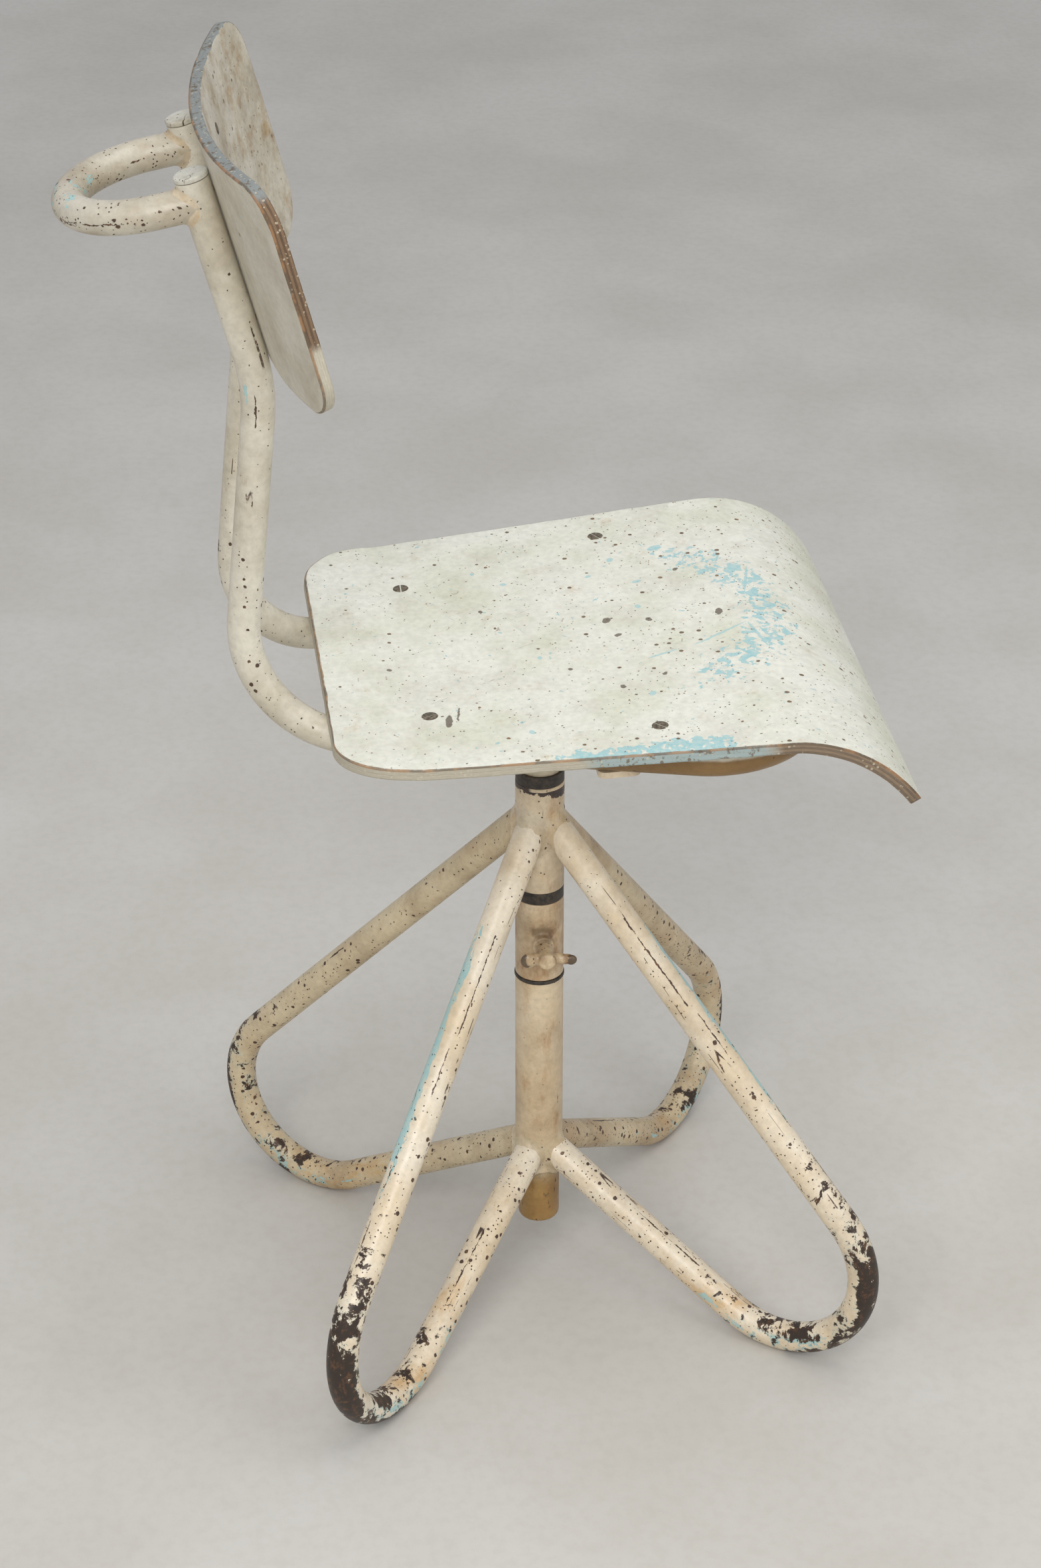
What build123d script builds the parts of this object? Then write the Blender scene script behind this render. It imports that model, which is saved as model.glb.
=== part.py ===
from build123d import *
from math import asin, cos, degrees, hypot, radians, sin, tan
import os

# Drafting chair: bent-tube base, swivelling height-adjustable post, plywood seat and backrest.
# Origin on the floor at the column's axis, +Z up. The sitter faces -Y, with the right hand at -X.
# "forward" below is a distance towards -Y, "side" a distance towards either hand.

# --- driving dimensions, millimetres and degrees ---------------------------------------------
tube_od = 25.0
tube_wall = 1.5
column_od = 39.0
column_wall = 1.5
post_od = 34.0
post_wall = 2.0
slide_clearance = 0.08        # radial, post in its bushes and in the collar
face_gap = 0.3                # between parts that turn against each other

base_yaw = 7.0                # legs stand at 45 degrees plus this
leg_upper_height = 443.0      # where the upper line of a leg meets the column's axis
leg_upper_slope = 47.0
leg_lower_slope = 30.0
leg_bend_radius = 77.5
foot_flat = 0.3               # depth worn off the bend where it stands on the floor

hub_bottom = 373.0
hub_top = 468.0
bush_flange = 10.5
bush_length = 22.0
collar_bottom = 291.3
thrust_washer_thickness = 3.4
lower_tube_bottom = 103.0
post_bottom = 51.0
screw_height = 327.0

frame_height = 568.5          # frame tube's centre above the floor, at the column's axis
frame_slope = 2.2             # the frame rises towards the front
frame_front = 186.0           # forward distance of the front cross-run
frame_front_radius = 70.0
frame_flare = 18.5            # each side run opens towards the front
post_spacing = 122.0          # between the two back posts
rear_bend_back = 239.0        # rear corner behind the column's axis
rear_bend_radius = 82.0
post_bend_back = 211.4        # corner where the back posts lean back
post_bend_height = 838.4
post_bend_radius = 149.0
post_tilt = 15.0
post_upper_length = 163.0

handle_drop = 18.5            # handle's axis below the cap, along the post
handle_droop = 11.0
handle_straight = 31.0

ply = 9.0
seat_slope = 3.6              # the seat rises a little more than its frame
seat_clearance = 0.7
seat_rear = 172.0
seat_flat_rear = 110.0
seat_flat_front = 154.0
seat_rear_curl = 380.0
seat_lip_radius = 108.0
seat_lip_turn = 64.0
seat_front_width = 446.0
seat_rear_width = 368.0
seat_outline_front = 257.0

back_height = 173.0
back_width = 404.0
back_radius = 570.0
back_bottom = 16.0            # along the tilted posts, above their bend
back_corner = 32.0

bolt_r = 3.0
bolt_hole_r = 3.2
bolt_head_r = 6.4
bolt_head_depth = 3.2
nut_r = 5.6
nut_height = 5.0
nut_drop = 3.4                # captive nut's top below the tube's top, clear of the bore
bolt_end = 1.5                # thread past the nut
rear_washer_r = 7.0
rear_washer_thickness = 0.5
spacer_r = 9.0
back_screw_r = 2.2
back_screw_head_r = 4.8
back_screw_places = (50.0, 151.0)
rear_bolt_back = 97.0
front_bolt_forward = 67.0

# --- worked-out values ------------------------------------------------------------------------
tube_r = tube_od / 2
bore_r = tube_r - tube_wall
column_r = column_od / 2
column_bore_r = column_r - column_wall
post_r = post_od / 2
sliding_r = post_r + slide_clearance
collar_top = hub_bottom - bush_flange - face_gap
washer_bottom = collar_bottom - face_gap - thrust_washer_thickness
frame_rise = tan(radians(frame_slope))
flare_rise = tan(radians(frame_flare))
rear_bend_height = frame_height - rear_bend_back * frame_rise
post_half = post_spacing / 2
tilt_sin = sin(radians(post_tilt))
tilt_cos = cos(radians(post_tilt))


def frame_half_width(forward):
    """Side distance of the frame tube's centre line at a forward distance."""
    return post_half + (forward + rear_bend_back) * flare_rise


def sloping_plane(height, slope):
    """Plane through a height on the column's axis that rises towards the front."""
    return Plane(
        origin=(0, 0, height),
        x_dir=(1, 0, 0),
        z_dir=(0, sin(radians(slope)), cos(radians(slope))),
    )


# The seat lies on the frame tube at its rear bolts and stands on spacers at its front bolts.
seat_rise = tan(radians(seat_slope))
rear_contact = frame_height - rear_bolt_back * frame_rise + tube_r / cos(radians(frame_slope))
seat_under_height = rear_contact + rear_bolt_back * seat_rise + seat_clearance
spacer_height = (rear_bolt_back + front_bolt_forward) * (seat_rise - frame_rise)
frame_plane = sloping_plane(frame_height, frame_slope)
strap_plane = frame_plane.offset(-tube_r)
seat_under_plane = sloping_plane(seat_under_height, seat_slope)
seat_top_plane = seat_under_plane.offset(ply)


def tilted_plane(side, along):
    """Plane across a back post's upper run: x to the left hand, z up the leaning post."""
    return Plane(
        origin=(side, post_bend_back + tilt_sin * along, post_bend_height + tilt_cos * along),
        x_dir=(1, 0, 0),
        z_dir=(0, tilt_sin, tilt_cos),
    )


def bolt_row(forward):
    """Both bolts of one row, in the seat plane."""
    reach = frame_half_width(forward)
    along = -forward / cos(radians(seat_slope))
    return [(-reach, along), (reach, along)]


rear_bolts = bolt_row(-rear_bolt_back)
front_bolts = bolt_row(front_bolt_forward)
bolt_places = rear_bolts + front_bolts

os.makedirs("parts", exist_ok=True)


def save(part, label):
    part.label = label
    export_step(part, f"parts/{label}.step")


# --- base: hub, lower tube and four bent legs --------------------------------------------------
with BuildPart() as upper_hub_tube:
    with BuildSketch(Plane.XY.offset(hub_bottom)):
        Circle(column_r)
        Circle(column_bore_r, mode=Mode.SUBTRACT)
    extrude(amount=hub_top - hub_bottom)
save(upper_hub_tube.part, "upper_hub_tube")

with BuildPart() as lower_column_tube:
    with BuildSketch(Plane.XY.offset(lower_tube_bottom)):
        Circle(column_r)
        Circle(column_bore_r, mode=Mode.SUBTRACT)
    extrude(amount=washer_bottom - lower_tube_bottom)
save(lower_column_tube.part, "lower_column_tube")


def build_leg(azimuth):
    """One loop: straight down from the hub, round a bend on the floor, straight back in."""
    across = radians(azimuth)
    leg_plane = Plane(
        origin=(0, 0, 0),
        x_dir=(cos(across), sin(across), 0),
        z_dir=(sin(across), -cos(across), 0),
    )
    upper = radians(leg_upper_slope)
    lower = radians(leg_lower_slope)
    bend_height = tube_r - foot_flat + leg_bend_radius
    bend_reach = (leg_upper_height - bend_height - leg_bend_radius / cos(upper)) / tan(upper)
    lower_height = bend_height + bend_reach * tan(lower) - leg_bend_radius / cos(lower)
    corner_reach = (leg_upper_height - lower_height) / (tan(upper) - tan(lower))
    corner_height = leg_upper_height - corner_reach * tan(upper)
    with BuildPart() as leg:
        with BuildLine(leg_plane) as route:
            FilletPolyline(
                (0, leg_upper_height),
                (corner_reach, corner_height),
                (0, lower_height),
                radius=leg_bend_radius,
            )
        with BuildSketch(Plane(origin=route.line @ 0, z_dir=route.line % 0)):
            Circle(tube_r)
            Circle(bore_r, mode=Mode.SUBTRACT)
        sweep()
        Cylinder(
            column_r,
            leg_upper_height * 3,
            align=(Align.CENTER, Align.CENTER, Align.CENTER),
            mode=Mode.SUBTRACT,
        )
        split(bisect_by=Plane.XY, keep=Keep.TOP)
    return leg.part


leg_names = ("leg_rear_left", "leg_rear_right", "leg_front_right", "leg_front_left")
for number, name in enumerate(leg_names):
    save(build_leg(45 + base_yaw + 90 * number), name)


def build_bush(flange_bottom, flange_height, sleeve_bottom, sleeve_height):
    """Flanged sleeve that guides the post inside a column tube."""
    with BuildPart() as bush:
        with BuildSketch(Plane.XY.offset(sleeve_bottom)):
            Circle(column_bore_r)
            Circle(sliding_r, mode=Mode.SUBTRACT)
        extrude(amount=sleeve_height)
        with BuildSketch(Plane.XY.offset(flange_bottom)):
            Circle(column_r)
            Circle(sliding_r, mode=Mode.SUBTRACT)
        extrude(amount=flange_height)
    return bush.part


save(build_bush(hub_top, bush_flange, hub_top - bush_length, bush_length), "upper_hub_bush")
save(build_bush(hub_bottom - bush_flange, bush_flange, hub_bottom, bush_length), "lower_hub_bush")

with BuildPart() as lower_tube_bush:
    with BuildSketch(Plane.XY.offset(lower_tube_bottom)):
        Circle(column_bore_r)
        Circle(sliding_r, mode=Mode.SUBTRACT)
    extrude(amount=bush_length * 2)
save(lower_tube_bush.part, "lower_tube_bush")

with BuildPart() as lower_tube_top_bush:
    with BuildSketch(Plane.XY.offset(washer_bottom - bush_length)):
        Circle(column_bore_r)
        Circle(sliding_r, mode=Mode.SUBTRACT)
    extrude(amount=bush_length)
save(lower_tube_top_bush.part, "lower_tube_top_bush")

with BuildPart() as thrust_washer:
    with BuildSketch(Plane.XY.offset(washer_bottom)):
        Circle(column_r + 0.7)
        Circle(sliding_r, mode=Mode.SUBTRACT)
    extrude(amount=thrust_washer_thickness)
    fillet(thrust_washer.edges().filter_by(GeomType.CIRCLE).group_by(SortBy.RADIUS)[-1], 1.0)
save(thrust_washer.part, "thrust_washer")

# --- locking collar with its boss, shoe and wing screw -----------------------------------------
screw_plane = Plane(origin=(0, 0, screw_height), x_dir=(0, -1, 0), z_dir=(-1, 0, 0))
screw_r = 4.0
screw_hole_r = screw_r + face_gap
boss_r = 8.5
boss_face = column_r + 6.0
shoe_face = post_r + face_gap
shoe_thickness = 2.0
screw_tip = shoe_face + shoe_thickness + face_gap
barrel_start = boss_face + 3.0
barrel_end = column_r + 30.0
barrel_r = 7.2
wing_reach = 18.0
wing_tip_r = 5.5
wing_thickness = 8.0

with BuildPart() as locking_collar:
    with BuildSketch(Plane.XY.offset(collar_bottom)):
        Circle(column_r)
        Circle(sliding_r, mode=Mode.SUBTRACT)
    extrude(amount=collar_top - collar_bottom)
    with BuildSketch(screw_plane):
        Circle(screw_hole_r)
    extrude(amount=column_r * 2, mode=Mode.SUBTRACT)
save(locking_collar.part, "locking_collar")

with BuildPart() as collar_boss:
    with BuildSketch(screw_plane.offset(post_r)):
        Circle(boss_r)
        Circle(screw_hole_r, mode=Mode.SUBTRACT)
    extrude(amount=boss_face - post_r)
    with Locations((0, 0, screw_height)):
        Cylinder(column_r, boss_r * 4, mode=Mode.SUBTRACT)
save(collar_boss.part, "collar_boss")

with BuildPart() as clamp_shoe:
    with BuildSketch(screw_plane.offset(shoe_face)):
        Circle(screw_r)
    extrude(amount=shoe_thickness)
save(clamp_shoe.part, "clamp_shoe")

with BuildPart() as wing_screw:
    with BuildSketch(screw_plane.offset(screw_tip)):
        Circle(screw_r)
    extrude(amount=barrel_start - screw_tip)
    with BuildSketch(screw_plane.offset(barrel_start)):
        Circle(barrel_r)
    extrude(amount=barrel_end - barrel_start)
    with BuildSketch(screw_plane.offset(barrel_end - wing_thickness - 3.0)):
        with Locations((-wing_reach, 0), (wing_reach, 0)):
            Circle(wing_tip_r)
        Rectangle(wing_reach * 2, wing_tip_r * 1.5)
    extrude(amount=wing_thickness)
    chamfer(wing_screw.faces().sort_by(Axis.X)[0].edges(), 1.2)
save(wing_screw.part, "wing_screw")

# --- post, mounting plate and straps ------------------------------------------------------------
strap_thickness = 5.0
strap_width = 32.0
strap_forward = 38.0
plate_thickness = 6.0
plate_plane = strap_plane.offset(-strap_thickness)
post_top_plane = plate_plane.offset(-plate_thickness)

with BuildPart() as seat_post:
    with BuildSketch(Plane.XY.offset(post_bottom)):
        Circle(post_r)
        Circle(post_r - post_wall, mode=Mode.SUBTRACT)
    extrude(amount=frame_height - post_bottom)
    split(bisect_by=post_top_plane, keep=Keep.BOTTOM)
save(seat_post.part, "seat_post")

with BuildPart() as post_end_plug:
    with BuildSketch(Plane.XY.offset(post_bottom)):
        Circle(post_r - post_wall)
    extrude(amount=16.0)
    chamfer(post_end_plug.faces().sort_by(Axis.Z)[0].edges(), 2.0)
save(post_end_plug.part, "post_end_plug")

with BuildPart() as mounting_plate:
    with BuildSketch(post_top_plane):
        RectangleRounded(110, 2 * strap_forward + strap_width, 10)
    extrude(amount=plate_thickness)
save(mounting_plate.part, "mounting_plate")


def build_strap(forward):
    """Flat bar welded across the two side runs of the seat frame."""
    reach = frame_half_width(forward)
    with BuildPart() as strap:
        with BuildSketch(plate_plane):
            with Locations((0, -forward)):
                RectangleRounded(2 * reach + 8, strap_width, 6)
        extrude(amount=strap_thickness)
    return strap.part


save(build_strap(strap_forward), "front_seat_strap")
save(build_strap(-strap_forward), "rear_seat_strap")

# --- where the backrest's screws run: from each post's axis to the panel's centre of curvature --
back_start = tube_r + 0.4 - post_half**2 / (2 * back_radius)
post_to_centre = hypot(post_half, back_start + back_radius)
screw_turn = asin(post_half / post_to_centre)
panel_face_gap = post_to_centre - back_radius + ply


def back_screw_plane(side, along):
    """Plane at a back post's axis, looking out through the panel along one screw."""
    return Plane(
        origin=tilted_plane(side * post_half, along).origin,
        z_dir=(-side * sin(screw_turn), -cos(screw_turn) * tilt_cos, cos(screw_turn) * tilt_sin),
    )


back_screw_planes = [back_screw_plane(side, along) for along in back_screw_places for side in (-1, 1)]

# --- seat frame: one continuous bent tube from post top to post top ---------------------------
front_half = frame_half_width(frame_front)
front_height = frame_height + frame_front * frame_rise
post_top_place = tilted_plane(post_half, post_upper_length).origin
rear_corner = (post_half, rear_bend_back, rear_bend_height)
left_corners = [
    tuple(post_top_place),
    (post_half, post_bend_back, post_bend_height),
    rear_corner,
    (front_half, -frame_front, front_height),
]
right_corners = [(-x, y, z) for x, y, z in reversed(left_corners)]
left_bends = [post_bend_radius, rear_bend_radius, frame_front_radius]

with BuildPart() as seat_frame_tube:
    with BuildLine() as frame_route:
        FilletPolyline(*left_corners, *right_corners, radius=left_bends + left_bends[::-1])
    with BuildSketch(tilted_plane(post_half, post_upper_length)):
        Circle(tube_r)
        Circle(bore_r, mode=Mode.SUBTRACT)
    sweep(path=frame_route.wires()[0])
    with BuildSketch(seat_under_plane):
        with Locations(*bolt_places):
            Circle(bolt_hole_r)
    extrude(amount=-tube_r - seat_clearance, mode=Mode.SUBTRACT)
    for way in back_screw_planes:
        with BuildSketch(way):
            Circle(back_screw_r)
        extrude(amount=tube_od, mode=Mode.SUBTRACT)
save(seat_frame_tube.part, "seat_frame_tube")

cap_r = tube_r + 0.2
cap_stem = 6.0
cap_head = 4.0
cap_gap = 0.6
for side, hand in ((-1, "right"), (1, "left")):
    cap_plane = tilted_plane(side * post_half, post_upper_length)
    with BuildPart() as post_cap:
        with BuildSketch(cap_plane.offset(cap_gap)):
            Circle(cap_r)
        extrude(amount=cap_head)
        fillet(post_cap.faces().sort_by(Axis.Z)[-1].edges(), 1.6)
        with BuildSketch(cap_plane.offset(-cap_stem)):
            Circle(bore_r)
        extrude(amount=cap_stem + cap_gap)
    save(post_cap.part, f"post_cap_{hand}")

# --- handle: a U of the same tube, welded to the back of both posts -----------------------------
handle_start = tilted_plane(0, post_upper_length - handle_drop).origin
handle_plane = Plane(
    origin=handle_start,
    x_dir=(1, 0, 0),
    z_dir=(0, sin(radians(handle_droop)), cos(radians(handle_droop))),
)

with BuildPart() as handle_loop:
    with BuildLine(handle_plane) as handle_route:
        left_arm = Line((post_half, 0), (post_half, handle_straight))
        bow = ThreePointArc(
            (post_half, handle_straight),
            (0, handle_straight + post_half),
            (-post_half, handle_straight),
        )
        right_arm = Line((-post_half, handle_straight), (-post_half, 0))
    with BuildSketch(Plane(origin=left_arm @ 0, z_dir=left_arm % 0)):
        Circle(tube_r)
        Circle(bore_r, mode=Mode.SUBTRACT)
    sweep(path=handle_route.wires()[0])
    for side in (-1, 1):
        with Locations(tilted_plane(side * post_half, post_upper_length - handle_drop)):
            Cylinder(tube_r, tube_od * 3, mode=Mode.SUBTRACT)
handle_body = handle_loop.part.solids().sort_by(SortBy.VOLUME)[-1]
save(handle_body, "handle_loop")

# --- seat: bent plywood, curled up at the rear and rolled down at the front ---------------------
def seat_line_height(forward):
    """Height of the ply's middle layer on its straight run."""
    return seat_under_height + ply / 2 / cos(radians(seat_slope)) + forward * seat_rise


rear_tangent = (1, -seat_rise)
front_tangent = (-1, seat_rise)
rear_turn = degrees((seat_rear - seat_flat_rear) / seat_rear_curl)

with BuildPart() as seat_shell:
    with BuildSketch(Plane.YZ) as seat_profile:
        with BuildLine() as seat_line:
            flat = Line(
                (seat_flat_rear, seat_line_height(-seat_flat_rear)),
                (-seat_flat_front, seat_line_height(seat_flat_front)),
            )
            JernArc(flat @ 1, front_tangent, seat_lip_radius - ply / 2, seat_lip_turn)
            JernArc(flat @ 0, rear_tangent, seat_rear_curl, rear_turn)
        trace(line_width=ply)
    extrude(amount=seat_front_width, both=True)
    with BuildSketch() as seat_outline:
        with BuildLine():
            Polyline(
                (seat_rear_width / 2, seat_rear),
                (-seat_rear_width / 2, seat_rear),
                (-seat_front_width / 2, -seat_outline_front),
                (seat_front_width / 2, -seat_outline_front),
                close=True,
            )
        make_face()
        fillet(seat_outline.vertices().group_by(Axis.Y)[-1], 52)
        fillet(seat_outline.vertices().group_by(Axis.Y)[0], 26)
    extrude(amount=frame_height * 2, mode=Mode.INTERSECT)
    with Locations(seat_top_plane):
        with Locations(*bolt_places):
            CounterSinkHole(radius=bolt_hole_r, counter_sink_radius=bolt_head_r + 0.2)
save(seat_shell.part, "seat_shell")

# --- backrest: a shallow plywood arc across the two posts --------------------------------------
back_middle = back_bottom + back_height / 2
back_plane = tilted_plane(0, back_bottom)
face_plane = Plane(
    origin=tilted_plane(0, back_middle).origin,
    x_dir=(1, 0, 0),
    z_dir=(0, -tilt_cos, tilt_sin),
)

with BuildPart() as backrest_panel:
    with BuildSketch(back_plane):
        with Locations((0, -back_start - back_radius)):
            Circle(back_radius)
            Circle(back_radius - ply, mode=Mode.SUBTRACT)
    extrude(amount=back_height)
    with BuildSketch(face_plane):
        RectangleRounded(back_width, back_height, back_corner)
    extrude(amount=back_width / 2, mode=Mode.INTERSECT)
    with Locations(*[plane.offset(panel_face_gap) for plane in back_screw_planes]):
        CounterSinkHole(radius=back_screw_r, counter_sink_radius=back_screw_head_r + 0.2, depth=ply * 2)
save(backrest_panel.part, "backrest_panel")

# --- fasteners ----------------------------------------------------------------------------------
# Each row: its two bolts, and how far its captive nuts' tops lie below the seat.
bolt_rows = [
    (rear_bolts, seat_clearance + nut_drop),
    (front_bolts, seat_clearance + spacer_height + nut_drop),
]

with BuildPart() as seat_bolts:
    for places, drop in bolt_rows:
        below = drop + nut_height + bolt_end
        with BuildSketch(seat_under_plane.offset(-below)):
            with Locations(*places):
                Circle(bolt_r)
        extrude(amount=below + ply - bolt_head_depth)
    with BuildSketch(seat_top_plane.offset(-bolt_head_depth)):
        with Locations(*bolt_places):
            Circle(bolt_r)
    extrude(amount=bolt_head_depth, taper=-45)
save(seat_bolts.part, "seat_bolts")

with BuildPart() as seat_bolt_washers:
    with BuildSketch(seat_under_plane.offset(-rear_washer_thickness)):
        with Locations(*rear_bolts):
            Circle(rear_washer_r)
            Circle(bolt_hole_r, mode=Mode.SUBTRACT)
    extrude(amount=rear_washer_thickness)
save(seat_bolt_washers.part, "seat_bolt_washers")

with BuildPart() as seat_bolt_nuts:
    for places, drop in bolt_rows:
        with BuildSketch(seat_under_plane.offset(-drop - nut_height)):
            with Locations(*places):
                RegularPolygon(nut_r, 6)
                Circle(bolt_r, mode=Mode.SUBTRACT)
        extrude(amount=nut_height)
save(seat_bolt_nuts.part, "seat_bolt_nuts")

with BuildPart() as seat_spacers:
    with BuildSketch(seat_under_plane.offset(-spacer_height)):
        with Locations(*front_bolts):
            Circle(spacer_r)
            Circle(bolt_hole_r, mode=Mode.SUBTRACT)
    extrude(amount=spacer_height)
save(seat_spacers.part, "seat_spacers")

with BuildPart() as backrest_screws:
    for way in back_screw_planes:
        head_depth = back_screw_head_r - back_screw_r
        with BuildSketch(way.offset(bore_r - 6.0)):
            Circle(back_screw_r)
        extrude(amount=panel_face_gap - bore_r + 6.0 - head_depth)
        with BuildSketch(way.offset(panel_face_gap - head_depth)):
            Circle(back_screw_r)
        extrude(amount=head_depth, taper=-45)
save(backrest_screws.part, "backrest_screws")
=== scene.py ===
from math import atan2, cos, pi, radians, sin, sqrt, tan

import bmesh
import bpy
import numpy as np
from mathutils import Matrix, Vector
from mathutils.geometry import delaunay_2d_cdt


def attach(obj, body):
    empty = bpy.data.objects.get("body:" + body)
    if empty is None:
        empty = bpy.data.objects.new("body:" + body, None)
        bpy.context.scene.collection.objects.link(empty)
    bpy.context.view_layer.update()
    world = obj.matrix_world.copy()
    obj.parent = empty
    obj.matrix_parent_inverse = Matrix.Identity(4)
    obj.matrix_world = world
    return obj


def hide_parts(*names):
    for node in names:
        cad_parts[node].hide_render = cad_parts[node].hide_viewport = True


# Drafting chair: four looped tube legs round a column, a turning collar with a wing screw, a
# sliding post, and one bent tube that carries a painted plywood seat and backrest. Metres. The
# origin is on the floor at the column's axis, +Z is up, and the sitter faces -Y.
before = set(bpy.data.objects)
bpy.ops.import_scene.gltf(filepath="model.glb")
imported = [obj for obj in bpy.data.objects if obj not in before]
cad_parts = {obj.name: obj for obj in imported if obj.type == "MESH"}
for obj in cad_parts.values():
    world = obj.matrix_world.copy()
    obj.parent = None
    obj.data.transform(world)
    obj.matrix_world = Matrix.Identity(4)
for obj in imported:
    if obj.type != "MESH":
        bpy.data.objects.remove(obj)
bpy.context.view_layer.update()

MM = 0.001
TUBE_R = 12.5 * MM
COLUMN_R = 19.5 * MM
POST_R = 17 * MM
FACE_GAP = 0.3 * MM
RING_POINTS = 40
TUBE_STEP = 5 * MM
rng = np.random.default_rng(7)


# --- small tools ---------------------------------------------------------------------------------
def ramp(low, high, value):
    """0 below low, 1 above high, eased between. low may be the larger."""
    part = np.clip((np.asarray(value, float) - low) / (high - low), 0.0, 1.0)
    return part * part * (3 - 2 * part)


def wobble(angle, seed, waves=(1, 9), size=1.0):
    """Uneven ripple round a closed edge, about -1 to 1."""
    dice = np.random.default_rng(seed)
    total = np.zeros_like(np.asarray(angle, float))
    for wave in range(waves[0], waves[1]):
        total += dice.normal(0, 1) / sqrt(wave) * np.cos(wave * angle + dice.uniform(0, 2 * pi))
    return size * total / 1.6


def unit(vector):
    vector = np.asarray(vector, float)
    return vector / np.linalg.norm(vector, axis=-1, keepdims=True)


def tag(mesh, name, values):
    """Stores one number or one vector for each vertex, for the materials to read."""
    values = np.asarray(values, np.float32)
    if values.ndim == 1:
        mesh.attributes.new(name, "FLOAT", "POINT").data.foreach_set("value", values)
    else:
        mesh.attributes.new(name, "FLOAT_VECTOR", "POINT").data.foreach_set("vector", values.ravel())


def points_of(mesh):
    points = np.zeros(len(mesh.vertices) * 3, np.float32)
    mesh.vertices.foreach_get("co", points)
    return points.reshape(-1, 3).astype(float)


def put_points(mesh, points):
    mesh.vertices.foreach_set("co", np.asarray(points, np.float32).ravel())
    mesh.update()


def face_out(mesh, merge=1e-6):
    """Merges doubled points and turns every face outwards."""
    work = bmesh.new()
    work.from_mesh(mesh)
    bmesh.ops.remove_doubles(work, verts=work.verts, dist=merge)
    bmesh.ops.recalc_face_normals(work, faces=work.faces)
    work.to_mesh(mesh)
    work.free()


def show(mesh, finish, body, replaced=(), smooth=True):
    """Puts a finished mesh in the scene on its body, in place of its CAD nodes."""
    piece = bpy.data.objects.new(mesh.name, mesh)
    bpy.context.scene.collection.objects.link(piece)
    mesh.materials.clear()
    mesh.materials.append(finish)
    if "straight" not in mesh.attributes:
        tag(mesh, "straight", points_of(mesh))
    if "off_stroke" not in mesh.attributes:
        tag(mesh, "off_stroke", np.ones((len(mesh.vertices), 3)))
    if smooth:
        mesh.shade_smooth()
        mesh.set_sharp_from_angle(angle=radians(50))
    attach(piece, body)
    if replaced:
        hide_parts(*replaced)
    return piece


# --- shader tools --------------------------------------------------------------------------------
class Bench:
    """Adds nodes to one tree. Any argument may be a socket or a plain value."""

    def __init__(self, tree):
        self.tree = tree

    def add(self, kind, inputs=(), **settings):
        made = self.tree.nodes.new(kind)
        for key, value in settings.items():
            setattr(made, key, value)
        for key, value in dict(inputs).items():
            self.feed(made.inputs[key], value)
        return made

    def feed(self, socket, value):
        if isinstance(value, bpy.types.NodeSocket):
            self.tree.links.new(value, socket)
        elif value is not None:
            socket.default_value = value

    def math(self, operation, a, b=0.0, c=0.0, clamp=False):
        made = self.add("ShaderNodeMath", {0: a, 1: b, 2: c}, operation=operation, use_clamp=clamp)
        return made.outputs[0]

    def plus(self, a, b):
        return self.math("ADD", a, b)

    def times(self, a, b):
        return self.math("MULTIPLY", a, b)

    def most(self, a, b):
        return self.math("MAXIMUM", a, b)

    def step(self, value, low, high, bottom=0.0, top=1.0):
        inputs = {"Value": value, "From Min": low, "From Max": high, "To Min": bottom, "To Max": top}
        return self.add("ShaderNodeMapRange", inputs, interpolation_type="SMOOTHSTEP").outputs[0]

    def scaled(self, vector, by):
        return self.add("ShaderNodeVectorMath", {0: vector, 1: by}, operation="MULTIPLY").outputs[0]

    def turned(self, vector, degrees_z, scale=(1, 1, 1)):
        inputs = {"Vector": vector, "Rotation": (0, 0, radians(degrees_z)), "Scale": scale}
        return self.add("ShaderNodeMapping", inputs).outputs[0]

    def noise(self, place, size, detail=5.0, rough=0.6, twist=0.0, colour=False):
        inputs = {"Vector": place, "Scale": 1 / size, "Detail": detail, "Roughness": rough,
                  "Distortion": twist}
        made = self.add("ShaderNodeTexNoise", inputs, noise_dimensions="3D")
        return made.outputs["Color" if colour else "Fac"]

    def nudged(self, place, size, amount):
        """The same place, pushed about by noise, so that round spots turn ragged."""
        push = self.add(
            "ShaderNodeVectorMath",
            {0: self.noise(place, size, 3.0, colour=True), 1: (0.5, 0.5, 0.5)},
            operation="SUBTRACT",
        ).outputs[0]
        inputs = {0: push, 1: (amount, amount, amount), 2: place}
        return self.add("ShaderNodeVectorMath", inputs, operation="MULTIPLY_ADD").outputs[0]

    def mix(self, amount, a, b, blend="MIX"):
        made = self.add("ShaderNodeMix", {0: amount, 6: a, 7: b}, data_type="RGBA", blend_type=blend)
        return made.outputs[2]

    def parts(self, vector):
        return self.add("ShaderNodeSeparateXYZ", {0: vector}).outputs

    def field(self, name, vector=False):
        made = self.add("ShaderNodeAttribute", attribute_type="GEOMETRY", attribute_name=name)
        return made.outputs["Vector" if vector else "Fac"]

    def group(self, tree, inputs):
        made = self.tree.nodes.new("ShaderNodeGroup")
        made.node_tree = tree
        for key, value in inputs.items():
            self.feed(made.inputs[key], value)
        return made.outputs


KINDS = {"v": "NodeSocketVector", "f": "NodeSocketFloat", "c": "NodeSocketColor"}


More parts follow.
